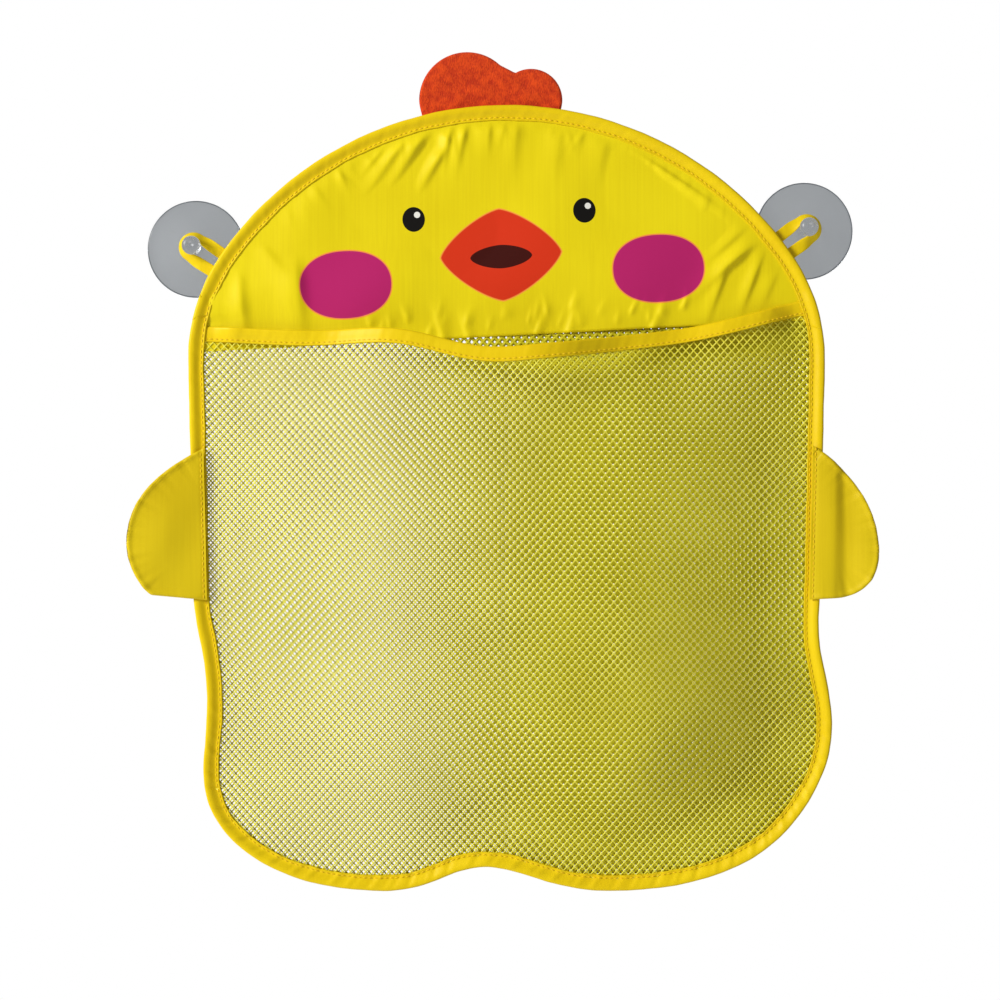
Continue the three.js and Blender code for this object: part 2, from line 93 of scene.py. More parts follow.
def fold_corners(node):
    """Corners of a folded CAD tape near its fold, as (x, z)."""
    low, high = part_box(node)
    corners = corners_of(node)
    near_fold = abs(corners[:, 1] - (low.y + high.y) / 2) < (high.y - low.y) / 3
    return corners[near_fold][:, [0, 2]]


def turn_of(points):
    """Angle round the middle of the bag, clockwise from the top."""
    slack = 0.001
    turn = np.arctan2(points[:, 0], points[:, 1] - bag_middle_z)
    return (turn + slack) % (2 * math.pi) - slack


def outer_corners():
    """The outermost corner at each station of the two tapes, in order round the bag."""
    corners = np.concatenate([fold_corners("dome_binding"), fold_corners("skirt_binding")])
    corners = corners[np.argsort(turn_of(corners))]
    apart = np.linalg.norm(np.diff(corners, axis=0), axis=1) > station_gap
    stations = np.split(corners, np.flatnonzero(apart) + 1)
    reach = [np.hypot(s[:, 0], s[:, 1] - bag_middle_z) for s in stations]
    return np.array([s[r.argmax()] for s, r in zip(stations, reach)])


def lengths_along(points):
    """Length of a line from its first point to each of its points."""
    steps = np.linalg.norm(np.diff(points, axis=0), axis=1)
    return np.concatenate([[0], np.cumsum(steps)])


def unit(vectors):
    """Vectors of length 1 in the same directions."""
    return vectors / np.linalg.norm(vectors, axis=-1, keepdims=True)


edge = smooth_loop(outer_corners(), edge_steps)
edge_length = lengths_along(np.concatenate([edge, edge[:1]]))
edge_tangent = unit(np.roll(edge, -1, axis=0) - np.roll(edge, 1, axis=0))
edge_inward = np.stack([edge_tangent[:, 1], -edge_tangent[:, 0]], axis=1)


def edge_point(length, inset=0.0):
    """Points (x, z) at lengths along the edge, moved into the bag by the inset."""
    at = np.mod(length, edge_length[-1])

    def along(values):
        closed = np.concatenate([values, values[:1]])
        return np.stack([np.interp(at, edge_length, closed[:, k]) for k in (0, 1)], axis=-1)

    return along(edge) + along(edge_inward) * np.asarray(inset)[..., None]


def inset_edge(inset):
    return edge_point(edge_length[:-1], np.full(len(edge), inset))


def sides_at(ring, z):
    """Left and right x of an inset edge at the given heights."""
    half = len(ring) // 2
    low_right = ring[:half, 1].argmin()
    low_left = half + ring[half:, 1].argmin()
    right, left = ring[: low_right + 1], ring[low_left:][::-1]
    return (
        np.interp(-z, -left[:, 1], left[:, 0]),
        np.interp(-z, -right[:, 1], right[:, 0]),
    )


def bottom_at(ring, x):
    """Height of the lower part of an inset edge at the given x."""
    lower = np.where(ring[:, 1] < lobes_below_z, ring[:, 0], 0)
    line = ring[lower.argmax() : lower.argmin() + 1][::-1]
    return np.interp(x, *line.T)


def top_at(ring, x):
    """Height of the dome of an inset edge at the given x."""
    upper = np.where(ring[:, 1] > dome_above_z, ring[:, 0], 0)
    line = np.concatenate([ring[upper.argmin() :], ring[: upper.argmax() + 1]])
    return np.interp(x, *line.T)


# Face panel: one layer of yellow plain-weave polyester with a printed face, whose round edge is
# caught in the dome's tape and whose straight lower edge lies over the top of the back net.
# The seam has drawn the cloth up, so short puckers run in from it and soft folds cross the middle.
panel_drop = 127 * mm
panel_tilt = math.radians(3)
panel_thickness = 0.4 * mm
panel_columns, panel_rows = 440, 92
cloth_inset = 1.9 * mm
pucker_count, crinkle_count = 120, 26
roll_height, ripple_height = 0.7 * mm, 0.35 * mm
belly_height, belly_up, belly_run = 1.0 * mm, 30 * mm, 17 * mm
seam_flat, seam_ramp, shoulder_ramp = 8.2 * mm, 8 * mm, 16 * mm
side_lift, tape_lift = 1.1 * mm, 0.2 * mm
least_relief, most_relief = -0.2 * mm, 5.5 * mm
dome_top = edge[0, 1]
panel_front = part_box("face_panel")[0].y
cloth_edge = inset_edge(cloth_inset)


def panel_edge_at(x):
    """Height of the panel's straight lower edge."""
    return dome_top - panel_drop + math.tan(panel_tilt) * x


def tape_rise(height):
    """0 on the dome, where the edge tape is thin, and 1 at the sides, where it holds the net."""
    return rise(-height, 26, 13)


def hump(offset, run):
    """1 in the middle, falling softly to nothing on both sides."""
    return np.exp(-((offset / run) ** 2))


def crest(aside, width):
    """Section of a fold in cloth: steep on one side and easy on the other."""
    return hump(aside, width * np.where(aside > 0, 0.62, 1.38))


def measured_along(x, z, start, way):
    """Distances from a start point along a direction and aside of it."""
    forth = (x - start[0]) * way[0] + (z - start[1]) * way[1]
    return forth, (z - start[1]) * way[0] - (x - start[0]) * way[1]


def ridge(x, z, start, end, width, height):
    """A soft fold along a straight line, that widens and fades toward its end."""
    length = np.hypot(*(end - start))
    forth, aside = measured_along(x, z, start, (end - start) / length)
    share = forth / length
    fade = ease(4 * share) * ease(1.25 - 1.25 * share)
    return height * fade * crest(aside, width * (0.8 + 0.5 * np.clip(share, 0, 1)))


def seam_puckers(x, z):
    """Short ridges that run from the dome's seam into the panel."""
    draw = np.random.default_rng(11)
    relief = np.zeros_like(x)
    spread = edge_length[-1] * 0.19
    for place in np.linspace(-spread, spread, pucker_count):
        place += draw.uniform(-2, 2) * mm
        length = draw.uniform(8, 30) * mm
        lean = draw.uniform(-0.5, 0.5)
        width = draw.uniform(1.2, 2.6) * mm
        height = draw.uniform(0.1, 1.0) * mm
        root = edge_point(place, 5 * mm)
        inward = unit(edge_point(place, 6 * mm) - root)
        aim = unit(inward + lean * np.array([-inward[1], inward[0]]))
        forth, aside = measured_along(x, z, root, aim)
        fade = ease(1 - forth / length)
        relief += height * fade * crest(aside, width * (1 + np.maximum(forth, 0) / length))
    return relief


def edge_crinkles(x, z):
    """Small short wrinkles above the panel's lower edge."""
    draw = np.random.default_rng(23)
    relief = np.zeros_like(x)
    for place in np.linspace(-75, 100, crinkle_count):
        start = np.array([place + draw.uniform(-3, 3), 0]) * mm
        start[1] = panel_edge_at(start[0]) + draw.uniform(1, 12) * mm
        end = start + np.array([draw.uniform(-6, 8), draw.uniform(9, 17)]) * mm
        relief += ridge(x, z, start, end, draw.uniform(1.4, 2.6) * mm, draw.uniform(0.2, 0.9) * mm)
    return relief


def gap_to(line, x, z):
    """Distance of each point of a grid from the nearest point of a line."""
    return np.array([
        np.hypot(row_x[:, None] - line[:, 0], row_z[:, None] - line[:, 1]).min(axis=1)
        for row_x, row_z in zip(x, z)
    ])


# Main soft folds of the panel, each from one point to another, (x, z), with its width and height
panel_folds = [
    ((-30, 66), (-36, 32), 2.6, 2.0),
    ((-33, 50), (-53, 18), 3.2, 1.8),
    ((-40, 64), (-74, 14), 5.0, 2.9),
    ((-53, 58), (-88, 10), 4.2, 2.0),
    ((-66, 51), (-84, 30), 2.6, 1.2),
    ((-21, 68), (-30, 28), 3.0, 1.5),
    ((-9, 70), (-11, 40), 2.6, 1.3),
    ((6, 70), (2, 24), 4.2, 1.0),
    ((30, 66), (24, 20), 5.0, 0.9),
    ((56, 60), (46, 22), 5.4, 0.8),
    ((-138, -2), (-118, -26), 4.6, 1.3),
    ((-117, -8), (-112, -80), 8.0, 2.3),
    ((-149, -10), (-143, -74), 5.6, 2.8),
    ((66, 50), (146, -4), 2.2, 1.6),
    ((143, 15), (104, -18), 2.8, 2.4),
    ((150, 5), (108, -25), 3.0, 2.2),
    ((142, 2), (96, -38), 3.8, 2.6),
    ((146, 4), (125, -50), 2.6, 2.6),
    ((156, -4), (136, -46), 2.8, 2.4),
    ((122, -14), (106, -56), 3.0, 1.4),
    ((13, -60), (26, -32), 2.8, 1.2),
    ((32, -60), (42, -26), 3.4, 1.1),
    ((77, -58), (90, -28), 3.0, 1.3),
    ((-33, -62), (-42, -30), 3.0, 1.2),
    ((-19, -62), (-27, -36), 2.6, 1.0),
]


def panel_relief(x, z):
    """How far the panel's cloth stands forward of its flat pattern."""
    relief = seam_puckers(x, z) + edge_crinkles(x, z)
    for start, end, width, height in panel_folds:
        from_point, to_point = np.array(start) * mm, np.array(end) * mm
        relief += ridge(x, z, from_point, to_point, width * mm, height * mm)
    relief += roll_height * np.sin(x / (23 * mm) + 1.3 * np.sin(z / (31 * mm)))
    relief += ripple_height * np.sin(x / (11 * mm) - z / (19 * mm))
    above_edge = z - panel_edge_at(x)
    relief += belly_height * hump(above_edge - belly_up, belly_run)
    left, right = sides_at(cloth_edge, z)
    from_side = np.minimum(x - left, right - x)
    seam_gap = gap_to(edge, x, z)
    ramp = seam_ramp + shoulder_ramp * rise(-z, -30, 40)
    relief *= ease((seam_gap - seam_flat) / ramp)
    calm = np.minimum(1, rise(above_edge, 0, 34) + rise(from_side, 0, 60))
    lift = side_lift * tape_rise(z) * (1 - rise(seam_gap, 9, 22))
    lift *= rise(above_edge, 15, 6)
    lift += tape_lift * rise(seam_gap, 6, 2.5)
    return np.clip(relief * calm, least_relief, most_relief) + lift


def shell(front, back):
    """Points and faces of a thin closed sheet between two grids of points."""
    rows, columns = front.shape[:2]
    count = rows * columns
    index = np.arange(count).reshape(rows, columns)
    quads = np.stack([index[:-1, :-1], index[1:, :-1], index[1:, 1:], index[:-1, 1:]], axis=-1)
    quads = quads.reshape(-1, 4)
    rim = np.concatenate([index[0, :-1], index[:-1, -1], index[-1, :0:-1], index[:0:-1, 0]])
    ahead = np.roll(rim, -1)
    walls = np.stack([rim, ahead, ahead + count, rim + count], axis=-1)
    points = np.concatenate([front.reshape(-1, 3), back.reshape(-1, 3)])
    return points, [*quads.tolist(), *(quads[:, ::-1] + count).tolist(), *walls.tolist()]


def volume_of(points, faces):
    """Six times the volume inside a closed mesh, negative where its faces point inward."""
    fans = [(f[0], f[k], f[k + 1]) for f in faces for k in range(1, len(f) - 1)]
    a, b, c = points[np.array(fans)].transpose(1, 0, 2)
    return np.einsum("ij,ij->", a, np.cross(b, c))


def put_in_scene(name, data):
    """A new object in the scene with the given mesh, light or camera."""
    made = bpy.data.objects.new(name, data)
    bpy.context.scene.collection.objects.link(made)
    return made


def make_piece(name, points, faces, material):
    """A new smooth-shaded mesh object whose faces point outward."""
    if volume_of(points, faces) < 0:
        faces = [face[::-1] for face in faces]
    mesh = bpy.data.meshes.new(name)
    mesh.from_pydata(points.tolist(), [], faces)
    mesh.polygons.foreach_set("use_smooth", [len(face) < 5 for face in faces])
    mesh.materials.append(material)
    return put_in_scene(name, mesh)


def new_material(name, roughness, **sockets):
    """A material with its node tree, its shader, whose named sockets hold fixed values, and a
    node output for the place on the piece."""
    material = bpy.data.materials.new(name)
    material.use_nodes = True
    shader = material.node_tree.nodes["Principled BSDF"]
    shader.inputs["Roughness"].default_value = roughness
    for socket, value in sockets.items():
        shader.inputs[socket.replace("_", " ").title().replace("Ior", "IOR")].default_value = value
    place = add_node(material.node_tree, "TexCoord", {}, output="Object")
    return material, material.node_tree, shader, place


def add_node(tree, kind, inputs, output=0, **settings):
    """A node with its settings made and its inputs set or linked; gives one output."""
    made = tree.nodes.new("ShaderNode" + kind)
    for name, value in settings.items():
        setattr(made, name, value)
    for name, value in inputs.items():
        if isinstance(value, bpy.types.NodeSocket):
            tree.links.new(value, made.inputs[name])
        else:
            made.inputs[name].default_value = value
    return made.outputs[output]


def stretched_noise(tree, place, scale, detail=3.0):
    """Noise drawn out along an axis by unequal scales."""
    mapped = add_node(tree, "Mapping", {"Vector": place, "Scale": scale})
    return add_node(tree, "TexNoise", {"Vector": mapped, "Scale": 1.0, "Detail": detail})


def blend_colours(tree, share, first, second):
    return add_node(tree, "MixRGB", {"Fac": share, "Color1": first, "Color2": second})


def in_range(tree, value, low, high):
    """0 below low, 1 above high, smooth between."""
    inputs = {"Value": value, "From Min": low, "From Max": high}
    return add_node(tree, "MapRange", inputs, interpolation_type="SMOOTHSTEP")


def combine(tree, operation, *values):
    """A sum, product or power of node outputs and numbers."""
    return add_node(tree, "Math", dict(enumerate(values)), operation=operation)


def dress(tree, shader, colour, height, strength, depth):
    """Gives the shader its colour, and a height as fine relief of some strength and depth."""
    tree.links.new(colour, shader.inputs["Base Color"])
    relief = add_node(tree, "Bump", {"Strength": strength, "Distance": depth, "Height": height})
    tree.links.new(relief, shader.inputs["Normal"])


def vary_gloss(tree, shader, noise, least, most):
    """Lets the shader's roughness follow a noise."""
    gloss = add_node(tree, "MapRange", {"Value": noise, "To Min": least, "To Max": most})
    tree.links.new(gloss, shader.inputs["Roughness"])


def woven_cloth(name, bright, deep, roughness, thread_pitch, printing=None):
    """Close plain weave: fine threads, faint upright streaks and a slow drift of tone."""
    material, tree, shader, place = new_material(name, roughness, specular_ior_level=0.12)
    streaks = stretched_noise(tree, place, (900, 900, 15))
    drift = stretched_noise(tree, place, (16,) * 3, detail=2.0)
    tone = combine(tree, "MULTIPLY_ADD", streaks, 0.5, drift)
    colour = blend_colours(tree, in_range(tree, tone, 0.15, 1.25), deep, bright)
    if printing:
        colour = printing(tree, place, colour)
    bands = {"Vector": place, "Scale": 0.314 / thread_pitch}
    threads = [add_node(tree, "TexWave", bands, output=1, bands_direction=way) for way in "XZ"]
    height = combine(tree, "MULTIPLY_ADD", streaks, 0.25, combine(tree, "MULTIPLY", *threads))
    dress(tree, shader, colour, height, 0.3, 0.06 * mm)
    vary_gloss(tree, shader, drift, roughness - 0.08, roughness + 0.1)
    return material


# Printed face, in millimetres on the panel: a round-cornered diamond beak with a dark mouth,
# dot eyes with a glint, and oval cheeks
print_centre = (-3, -10)
beak_size, beak_colour = (33, 25), (0.66, 0.035, 0.008, 1)
mouth_size, mouth_colour = (17, 6.5), (0.05, 0.004, 0.002, 1)
eye_offset, eye_size, eye_colour = (47, 22), (6.2, 6.8), (0.006, 0.005, 0.004, 1)
glint_offset, glint_size, glint_colour = (2.0, 2.4), (1.7, 1.7), (0.8, 0.78, 0.7, 1)
cheek_offset, cheek_size, cheek_colour = (86, -12), (25, 18.5), (0.46, 0.016, 0.13, 1)
rim_width, rim_colour = 0.7, (0.9, 0.3, 0.05, 1)


def printed_face(tree, place, cloth_colour):
    """Lays the printed shapes over the cloth's colour."""

    def measured_from(centre, start, **change):
        """Places measured from a centre (x, z), turned or scaled."""
        inputs = {"Vector": start, "Location": (centre[0] * mm, 0, centre[1] * mm), **change}
        return add_node(tree, "Mapping", inputs, vector_type="TEXTURE")

    centred = measured_from(print_centre, place, Rotation=(0, -panel_tilt, 0))

    def shape(centre, size, corner_power=2.0):
        scaled = measured_from(centre, centred, Scale=(size[0] * mm, 1, size[1] * mm))
        parts = tree.nodes.new("ShaderNodeSeparateXYZ")
        tree.links.new(
            add_node(tree, "VectorMath", {0: scaled}, operation="ABSOLUTE"), parts.inputs[0]
        )
        across, up = (combine(tree, "POWER", parts.outputs[k], corner_power) for k in (0, 2))
        return in_range(tree, combine(tree, "ADD", across, up), 1.02, 0.98)

    def rimmed(colour, centre, size, corner_power, fill):
        """A filled shape with the thin rim that the ink leaves round it."""
        wider = [side + rim_width for side in size]
        colour = blend_colours(tree, shape(centre, wider, corner_power), colour, rim_colour)
        return blend_colours(tree, shape(centre, size, corner_power), colour, fill)

    colour = rimmed(cloth_colour, (0, 0), beak_size, 1.35, beak_colour)
    colour = blend_colours(tree, shape((0, -1), mouth_size, 1.7), colour, mouth_colour)
    for side in (-1, 1):
        eye = (side * eye_offset[0], eye_offset[1])
        glint = (eye[0] + glint_offset[0], eye[1] + glint_offset[1])
        cheek = (side * cheek_offset[0], cheek_offset[1])
        colour = rimmed(colour, cheek, cheek_size, 2.2, cheek_colour)
        colour = blend_colours(tree, shape(eye, eye_size), colour, eye_colour)
        colour = blend_colours(tree, shape(glint, glint_size), colour, glint_colour)
    return colour


def faint_face(tree, place, cloth_colour):
    """The print as it shows through on the back of the cloth."""
    return blend_colours(tree, 0.2, cloth_colour, printed_face(tree, place, cloth_colour))


cloth_thread = 0.6 * mm
panel_tones = (0.84, 0.69, 0.006, 1), (0.7, 0.54, 0.003, 1)
panel_cloth = woven_cloth("panel_cloth", *panel_tones, 0.46, cloth_thread, printed_face)
panel_back = woven_cloth("panel_cloth_back", *panel_tones, 0.5, cloth_thread, faint_face)
panel_left, panel_right = sides_at(cloth_edge, np.array([panel_edge_at(0)]))
panel_left = sides_at(cloth_edge, panel_edge_at(panel_left))[0][0] + 0.5 * mm
panel_right = sides_at(cloth_edge, panel_edge_at(panel_right))[1][0] - 0.5 * mm
even = np.linspace(-1, 1, panel_columns)
column_share = 0.75 * even + 0.25 * np.sin(even * math.pi / 2)
column_x = (panel_left + panel_right) / 2 + (panel_right - panel_left) / 2 * column_share
row_share = 1 - (1 - np.linspace(0, 1, panel_rows)) ** 1.25
panel_x = np.repeat(column_x[:, None], panel_rows, axis=1)
panel_low, panel_high = panel_edge_at(column_x), top_at(cloth_edge, column_x)
panel_z = panel_low[:, None] + (panel_high - panel_low)[:, None] * row_share[None, :]
panel_y = panel_front - panel_relief(panel_x, panel_z)
panel_points = np.stack([panel_x, panel_y, panel_z], axis=-1)
face_panel = make_piece(
    "face_panel_cloth", *shell(panel_points, panel_points + (0, panel_thickness, 0)), panel_cloth
)
face_panel.data.materials.append(panel_back)
panel_faces = np.arange(len(face_panel.data.polygons))
face_panel.data.polygons.foreach_set(
    "material_index", (panel_faces >= (panel_columns - 1) * (panel_rows - 1)).astype(int)
)
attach(face_panel, "bag")
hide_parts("face_panel")

# Back net: knitted polyester mesh with diamond meshes of about 4 mm, the flat back of the pocket.
# Its top is sewn behind the panel's lower edge, and the rest of its edge is caught in the tape.
# Its yarn is drawn thin on the left, and bulkier on the right and along its seam with the panel,
# as painted shade: the bulk closes the holes where shade would lie behind the net.
net_across, net_up, net_reach = 4.2 * mm, 4.7 * mm, 110
net_overlap, net_inset = 6 * mm, 5 * mm
yarn_depth = 0.32 * mm
# Extra width of the back net's yarn on the right and under the panel's edge, as painted shade
yarn_width, shade_yarn_spread, shade_yarn_gather = 0.78 * mm, 1.12 * mm, 0.7 * mm
net_back_y = sum(c.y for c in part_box("back_net")) / 2


def inside(ring, x, z):
    """True for points inside a closed line."""
    found = np.zeros(len(x), bool)
    for (ax, az), (bx, bz) in zip(ring, np.roll(ring, -1, axis=0)):
        if az != bz:
            crosses = (az > z) != (bz > z)
            found ^= crosses & (x < ax + (bx - ax) * (z - az) / (bz - az))
    return found


def knitted_net(keep, surface, width, drift):
    """Points and faces of a net of diamond meshes in staggered rows.
    keep(x, z) chooses the meshes, surface(x, z) gives the depth of the net there, width(x, z) is
    that of a strand, and drift(x, z) is how far the meshes have slipped, across and up."""

    def slipped(x, z):
        across, up = drift(x, z + bag_middle_z)
        return x + across, z + bag_middle_z + up

    steps = np.arange(-net_reach, net_reach + 1)
    a, j = np.meshgrid(steps, steps)
    staggered = (a + j) % 2 == 0
    a, j = a[staggered], j[staggered]
    half_across, half_up = net_across / 2, net_up / 2
    kept = keep(*slipped(a * half_across, j * half_up))
    a, j = a[kept], j[kept]

    # Every knot has a number of its own, so that neighbouring meshes share their knots
    span = 1000
    code = np.stack([(a + 1, j), (a, j + 1), (a - 1, j), (a, j - 1)], axis=0)
    code = (code[:, 1] + span) * 2 * span + code[:, 0] + span
    knots, corner = np.unique(code, return_inverse=True)
    right, top, left, low = corner.reshape(4, -1)
    knot_x = (knots % (2 * span) - span) * half_across
    knot_z = (knots // (2 * span) - span) * half_up

    strand = width(a * half_across, j * half_up + bag_middle_z)
    open_share = 1 - strand / 2 * math.hypot(1 / half_across, 1 / half_up)
    hole_x = np.concatenate([(a + k * open_share) * half_across for k in (1, 0, -1, 0)])
    hole_z = np.concatenate([(j + k * open_share) * half_up for k in (0, 1, 0, -1)])

    count = len(knots)
    all_x = np.concatenate([knot_x, knot_x, hole_x])
    all_z = np.concatenate([knot_z, knot_z, hole_z])
    x, z = slipped(all_x, all_z)
    lift = np.repeat([-yarn_depth, yarn_depth, 0], [count, count, len(hole_x)])
    points = np.stack([x, surface(x, z) + lift, z], axis=1)

    holes = [2 * count + k * len(a) + np.arange(len(a)) for k in range(4)]
    faces = []
    for shift, step in ((0, 1), (count, -1)):
        ring = [right + shift, top + shift, left + shift, low + shift]
        for k in range(4):
            ahead = (k + 1) % 4
            quad = np.stack([ring[k], ring[ahead], holes[ahead], holes[k]], axis=1)
            faces += quad[:, ::step].tolist()
    pairs = np.concatenate([
        np.stack(p, axis=1) for p in ((right, top), (top, left), (left, low), (low, right))
    ])
    _, first, uses = np.unique(
        np.sort(pairs, axis=1), axis=0, return_index=True, return_counts=True
    )
    start, end = pairs[first[uses == 1]].T
    walls = np.stack([end, start, start + count, end + count], axis=1)
    return points, faces + walls.tolist()


def net_yarn(name, bright, deep, shine):
    """Shiny knitted yarn with a fine twist along the strands."""
    material, tree, shader, place = new_material(name, 0.36, specular_ior_level=shine)
    fleck = stretched_noise(tree, place, (1500,) * 3, detail=2.0)
    drift = stretched_noise(tree, place, (22,) * 3, detail=2.0)
    tone = combine(tree, "MULTIPLY", fleck, drift)
    colour = blend_colours(tree, in_range(tree, tone, 0.08, 0.42), deep, bright)
    dress(tree, shader, colour, fleck, 0.4, 0.08 * mm)
    return material


# The back net's yarn is the front net's yarn in darker tones: painted shade for the inside of the
# pocket.
back_yarn_painted_shade = net_yarn("back_net_yarn_painted_shade", (0.64, 0.57, 0.015, 1), (0.5, 0.44, 0.009, 1), 0.2)
net_edge = inset_edge(net_inset)


def in_back_net(x, z):
    return inside(net_edge, x, z) & (z < panel_edge_at(x) + net_overlap)


def back_surface(x, z):
    """The back net hangs nearly flat, with slow waves below the panel."""
    below = rise(panel_edge_at(x) - z, 0, 60)
    left, right = sides_at(net_edge, z)
    free = rise(np.minimum(x - left, right - x), 0, 40) * below
    sway = np.sin(x / (37 * mm) + z / (52 * mm)) + 0.6 * np.sin(z / (29 * mm) - x / (61 * mm))
    return net_back_y + free * (0.5 + 0.6 * sway) * mm


def back_width_with_shade(x, z):
    """Painted shade: the yarn is drawn bulkier toward the right, more under the panel's edge."""
    spread = rise(x, -80, 130)
    under_panel = 1 - rise(panel_edge_at(x) - z, 6, 22)
    gather = rise(x, -55, 60) * under_panel
    return yarn_width + shade_yarn_spread * spread + shade_yarn_gather * gather


def back_drift(x, z):
    return 0.25 * mm * np.sin(z / (47 * mm)), 0.25 * mm * np.sin(x / (58 * mm))


back_net = make_piece(
    "back_net_mesh", *knitted_net(in_back_net, back_surface, back_width_with_shade, back_drift), back_yarn_painted_shade
)
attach(back_net, "bag")
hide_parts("back_net")

# Front net: the same mesh, cut fuller, so that it swells forward into a pocket.
# Its sides and bottom are caught in the tape and its top in the hem. It is made in two halves
# that meet in the middle.
pocket_depth, pocket_side_run, pocket_bottom_run = 34 * mm, 100 * mm, 90 * mm
mouth_depth, mouth_drop = 22 * mm, 115 * mm
slack_run, lean_run, lean_fall = 40 * mm, 22 * mm, 55 * mm
swell_inset = 12.5 * mm
hem_lap = 3 * mm
rumple_height = 0.7 * mm
edge_dive, dive_run = 1.3 * mm, 14 * mm
front_yarn_width = 0.77 * mm
halves = (("left", -1), ("right", 1))
net_front_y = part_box("front_net")[1].y - 0.25 * mm
swell_edge = inset_edge(swell_inset)
bag_bottom_z = edge[:, 1].min()
# The meshes of the two nets line up as seen from in front of the picture's centre, (x, z), at this
# distance from the back net
picture_centre, sight_length = (-3.6 * mm, -144.8 * mm), 0.97


def smooth_line(points, steps):
    """More points on a smooth open line through the given ones."""
    first, last = 2 * points[0] - points[1], 2 * points[-1] - points[-2]
    ring = smooth_loop(np.concatenate([[first], points, [last]]), steps)
    return ring[steps : len(points) * steps + 1]


# The slack of the mouth's edge, in millimetres: places along x, each with its run, and how far the
# edge hangs lower there or lies forward
mouth_slack = [(10, 85, 2.6), (-18, 26, 1.6)]
mouth_leans = [
    (-148, 10, 0.7), (-95, 38, -11), (-30, 28, -5), (70, 30, -15), (100, 18, -7), (142, 15, 3),
]


def humps(x, table):
    """Sum of soft humps along x."""
    return sum(height * mm * hump(x / mm - place, run) for place, run, height in table)


def hem_line():
    """The top of the CAD hem, (x, z), from left to right, let down by its slack."""
    corners = corners_of("pocket_hem")
    stations = np.unique(corners[:, 0].round(5))
    tops = [corners[abs(corners[:, 0] - x) < 0.1 * mm, 2].max() for x in stations]
    line = smooth_line(np.stack([stations, tops], axis=1), 6)
    x = line[:, 0]
    free = ease((x - x[0]) / slack_run) * ease((x[-1] - x) / slack_run)
    line[:, 1] -= humps(x, mouth_slack) * free
    return line


mouth = hem_line()


def mouth_at(x):
    return np.interp(x, *mouth.T)


def pocket_swell(x, z):
    """How far the pocket's front stands forward of the flat net."""
    left, right = sides_at(swell_edge, z)
    up_share = (z - bag_bottom_z) / (dome_top - mouth_drop - bag_bottom_z)
    depth = pocket_depth + (mouth_depth - pocket_depth) * up_share**2
    sides = ease((x - left) / pocket_side_run) * ease((right - x) / pocket_side_run)
    return depth * sides * ease((z - bottom_at(swell_edge, x)) / pocket_bottom_run)


def waves(length, seed, spans, heights):
    """Uneven ripples along a seam: sine waves of several lengths with random starts."""
    draw = np.random.default_rng(seed)
    total = np.zeros_like(length)
    for span, height in zip(spans, heights):
        total += height * np.sin(length * (2 * math.pi / span) + draw.uniform(0, 2 * math.pi))
    return total


def front_surface(x, z):
    """The swell with the slack net's shallow rumples, and the lean to and fro along its mouth."""
    swell = pocket_swell(x, z)
    rumple = np.sin(x / (26 * mm) + 0.7 * np.sin(z / (33 * mm))) * np.sin(z / (41 * mm) + 0.8)
    from_end = np.minimum(x - mouth[0, 0], mouth[-1, 0] - x)
    lean = waves(x, 5, (83 * mm, 46 * mm), (0.5 * mm, 0.3 * mm)) + humps(x, mouth_leans)
    lean *= ease(from_end / lean_run) * ease(1 - (mouth_at(x) - z) / lean_fall)
    left, right = sides_at(swell_edge, z)
    from_edge = np.minimum(np.minimum(x - left, right - x), z - bottom_at(swell_edge, x))
    dive = edge_dive * ease(1 - from_edge / dive_run)
    return net_front_y - swell - rumple_height * rumple * swell / pocket_depth - lean + dive


def front_drift(x, z):
    """The meshes lie half a mesh aside of the back net's. They are drawn together where the net
    swells, so that seen from in front the two nets make only soft, slow bands."""
    drawn = (net_back_y - front_surface(x, z)) / sight_length
    across = 2.1 + 0.25 * np.sin(z / (38 * mm) + x / (55 * mm))
    up = 0.25 * np.sin(x / (42 * mm) - z / (60 * mm) + 1)
    return across * mm - (x - picture_centre[0]) * drawn, up * mm - (z - picture_centre[1]) * drawn


def front_width(x, z):
    return np.full(len(x), front_yarn_width)


front_yarn = net_yarn("front_net_yarn", (0.88, 0.82, 0.07, 1), (0.76, 0.68, 0.03, 1), 0.5)
for side, body_side in halves:

    def in_half(x, z):
        own_half = (x > 0) == (body_side > 0)
        return inside(net_edge, x, z) & (z < mouth_at(x) - hem_lap) & own_half

    mesh = knitted_net(in_half, front_surface, front_width, front_drift)
    half = make_piece(f"front_net_{side}", *mesh, front_yarn)
    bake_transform(half)
    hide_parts("front_net")

# Pocket hem: satin tape folded lengthwise over the front net's top edge and topstitched.
# Its two ends run in under the side binding, and its slack middle sags and leans to and fro.
hem_width, hem_half, hem_end_half = 8.2 * mm, 1.15 * mm, 0.5 * mm
hem_stations, hem_tuck, hem_butt = 120, 5 * mm, 0.02 * mm
hem_tilt, hem_pucker = 0.32, 0.05 * mm
tape_thickness, tape_thread, fold_round = 0.4 * mm, 0.45 * mm, 1.4 * mm
stitch_inset, stitch_pitch, stitch_length = 1.5 * mm, 3.0 * mm, 2.3 * mm
thread_radius = 0.3 * mm


def tube(stations, corners):
    """Numbers of the points of a tube, by station and corner, and the faces of its wall."""
    index = np.arange(stations * corners).reshape(stations, corners)
    ahead = np.roll(index, -1, axis=1)
    wall = np.stack([index[:-1], ahead[:-1], ahead[1:], index[1:]], axis=-1)
    return index, wall.reshape(-1, 4).tolist()


def loft(sections):
    """Points and faces of a bar whose closed outline is given at each station."""
    index, wall = tube(*sections.shape[:2])
    return sections.reshape(-1, 3), [*wall, index[0, ::-1].tolist(), index[-1].tolist()]


def fold_share(inset):
    """0 at the fold of a tape and 1 where its flaps begin, as a quarter circle."""
    return np.sqrt(1 - np.clip(1 - inset / fold_round, 0, 1) ** 2)


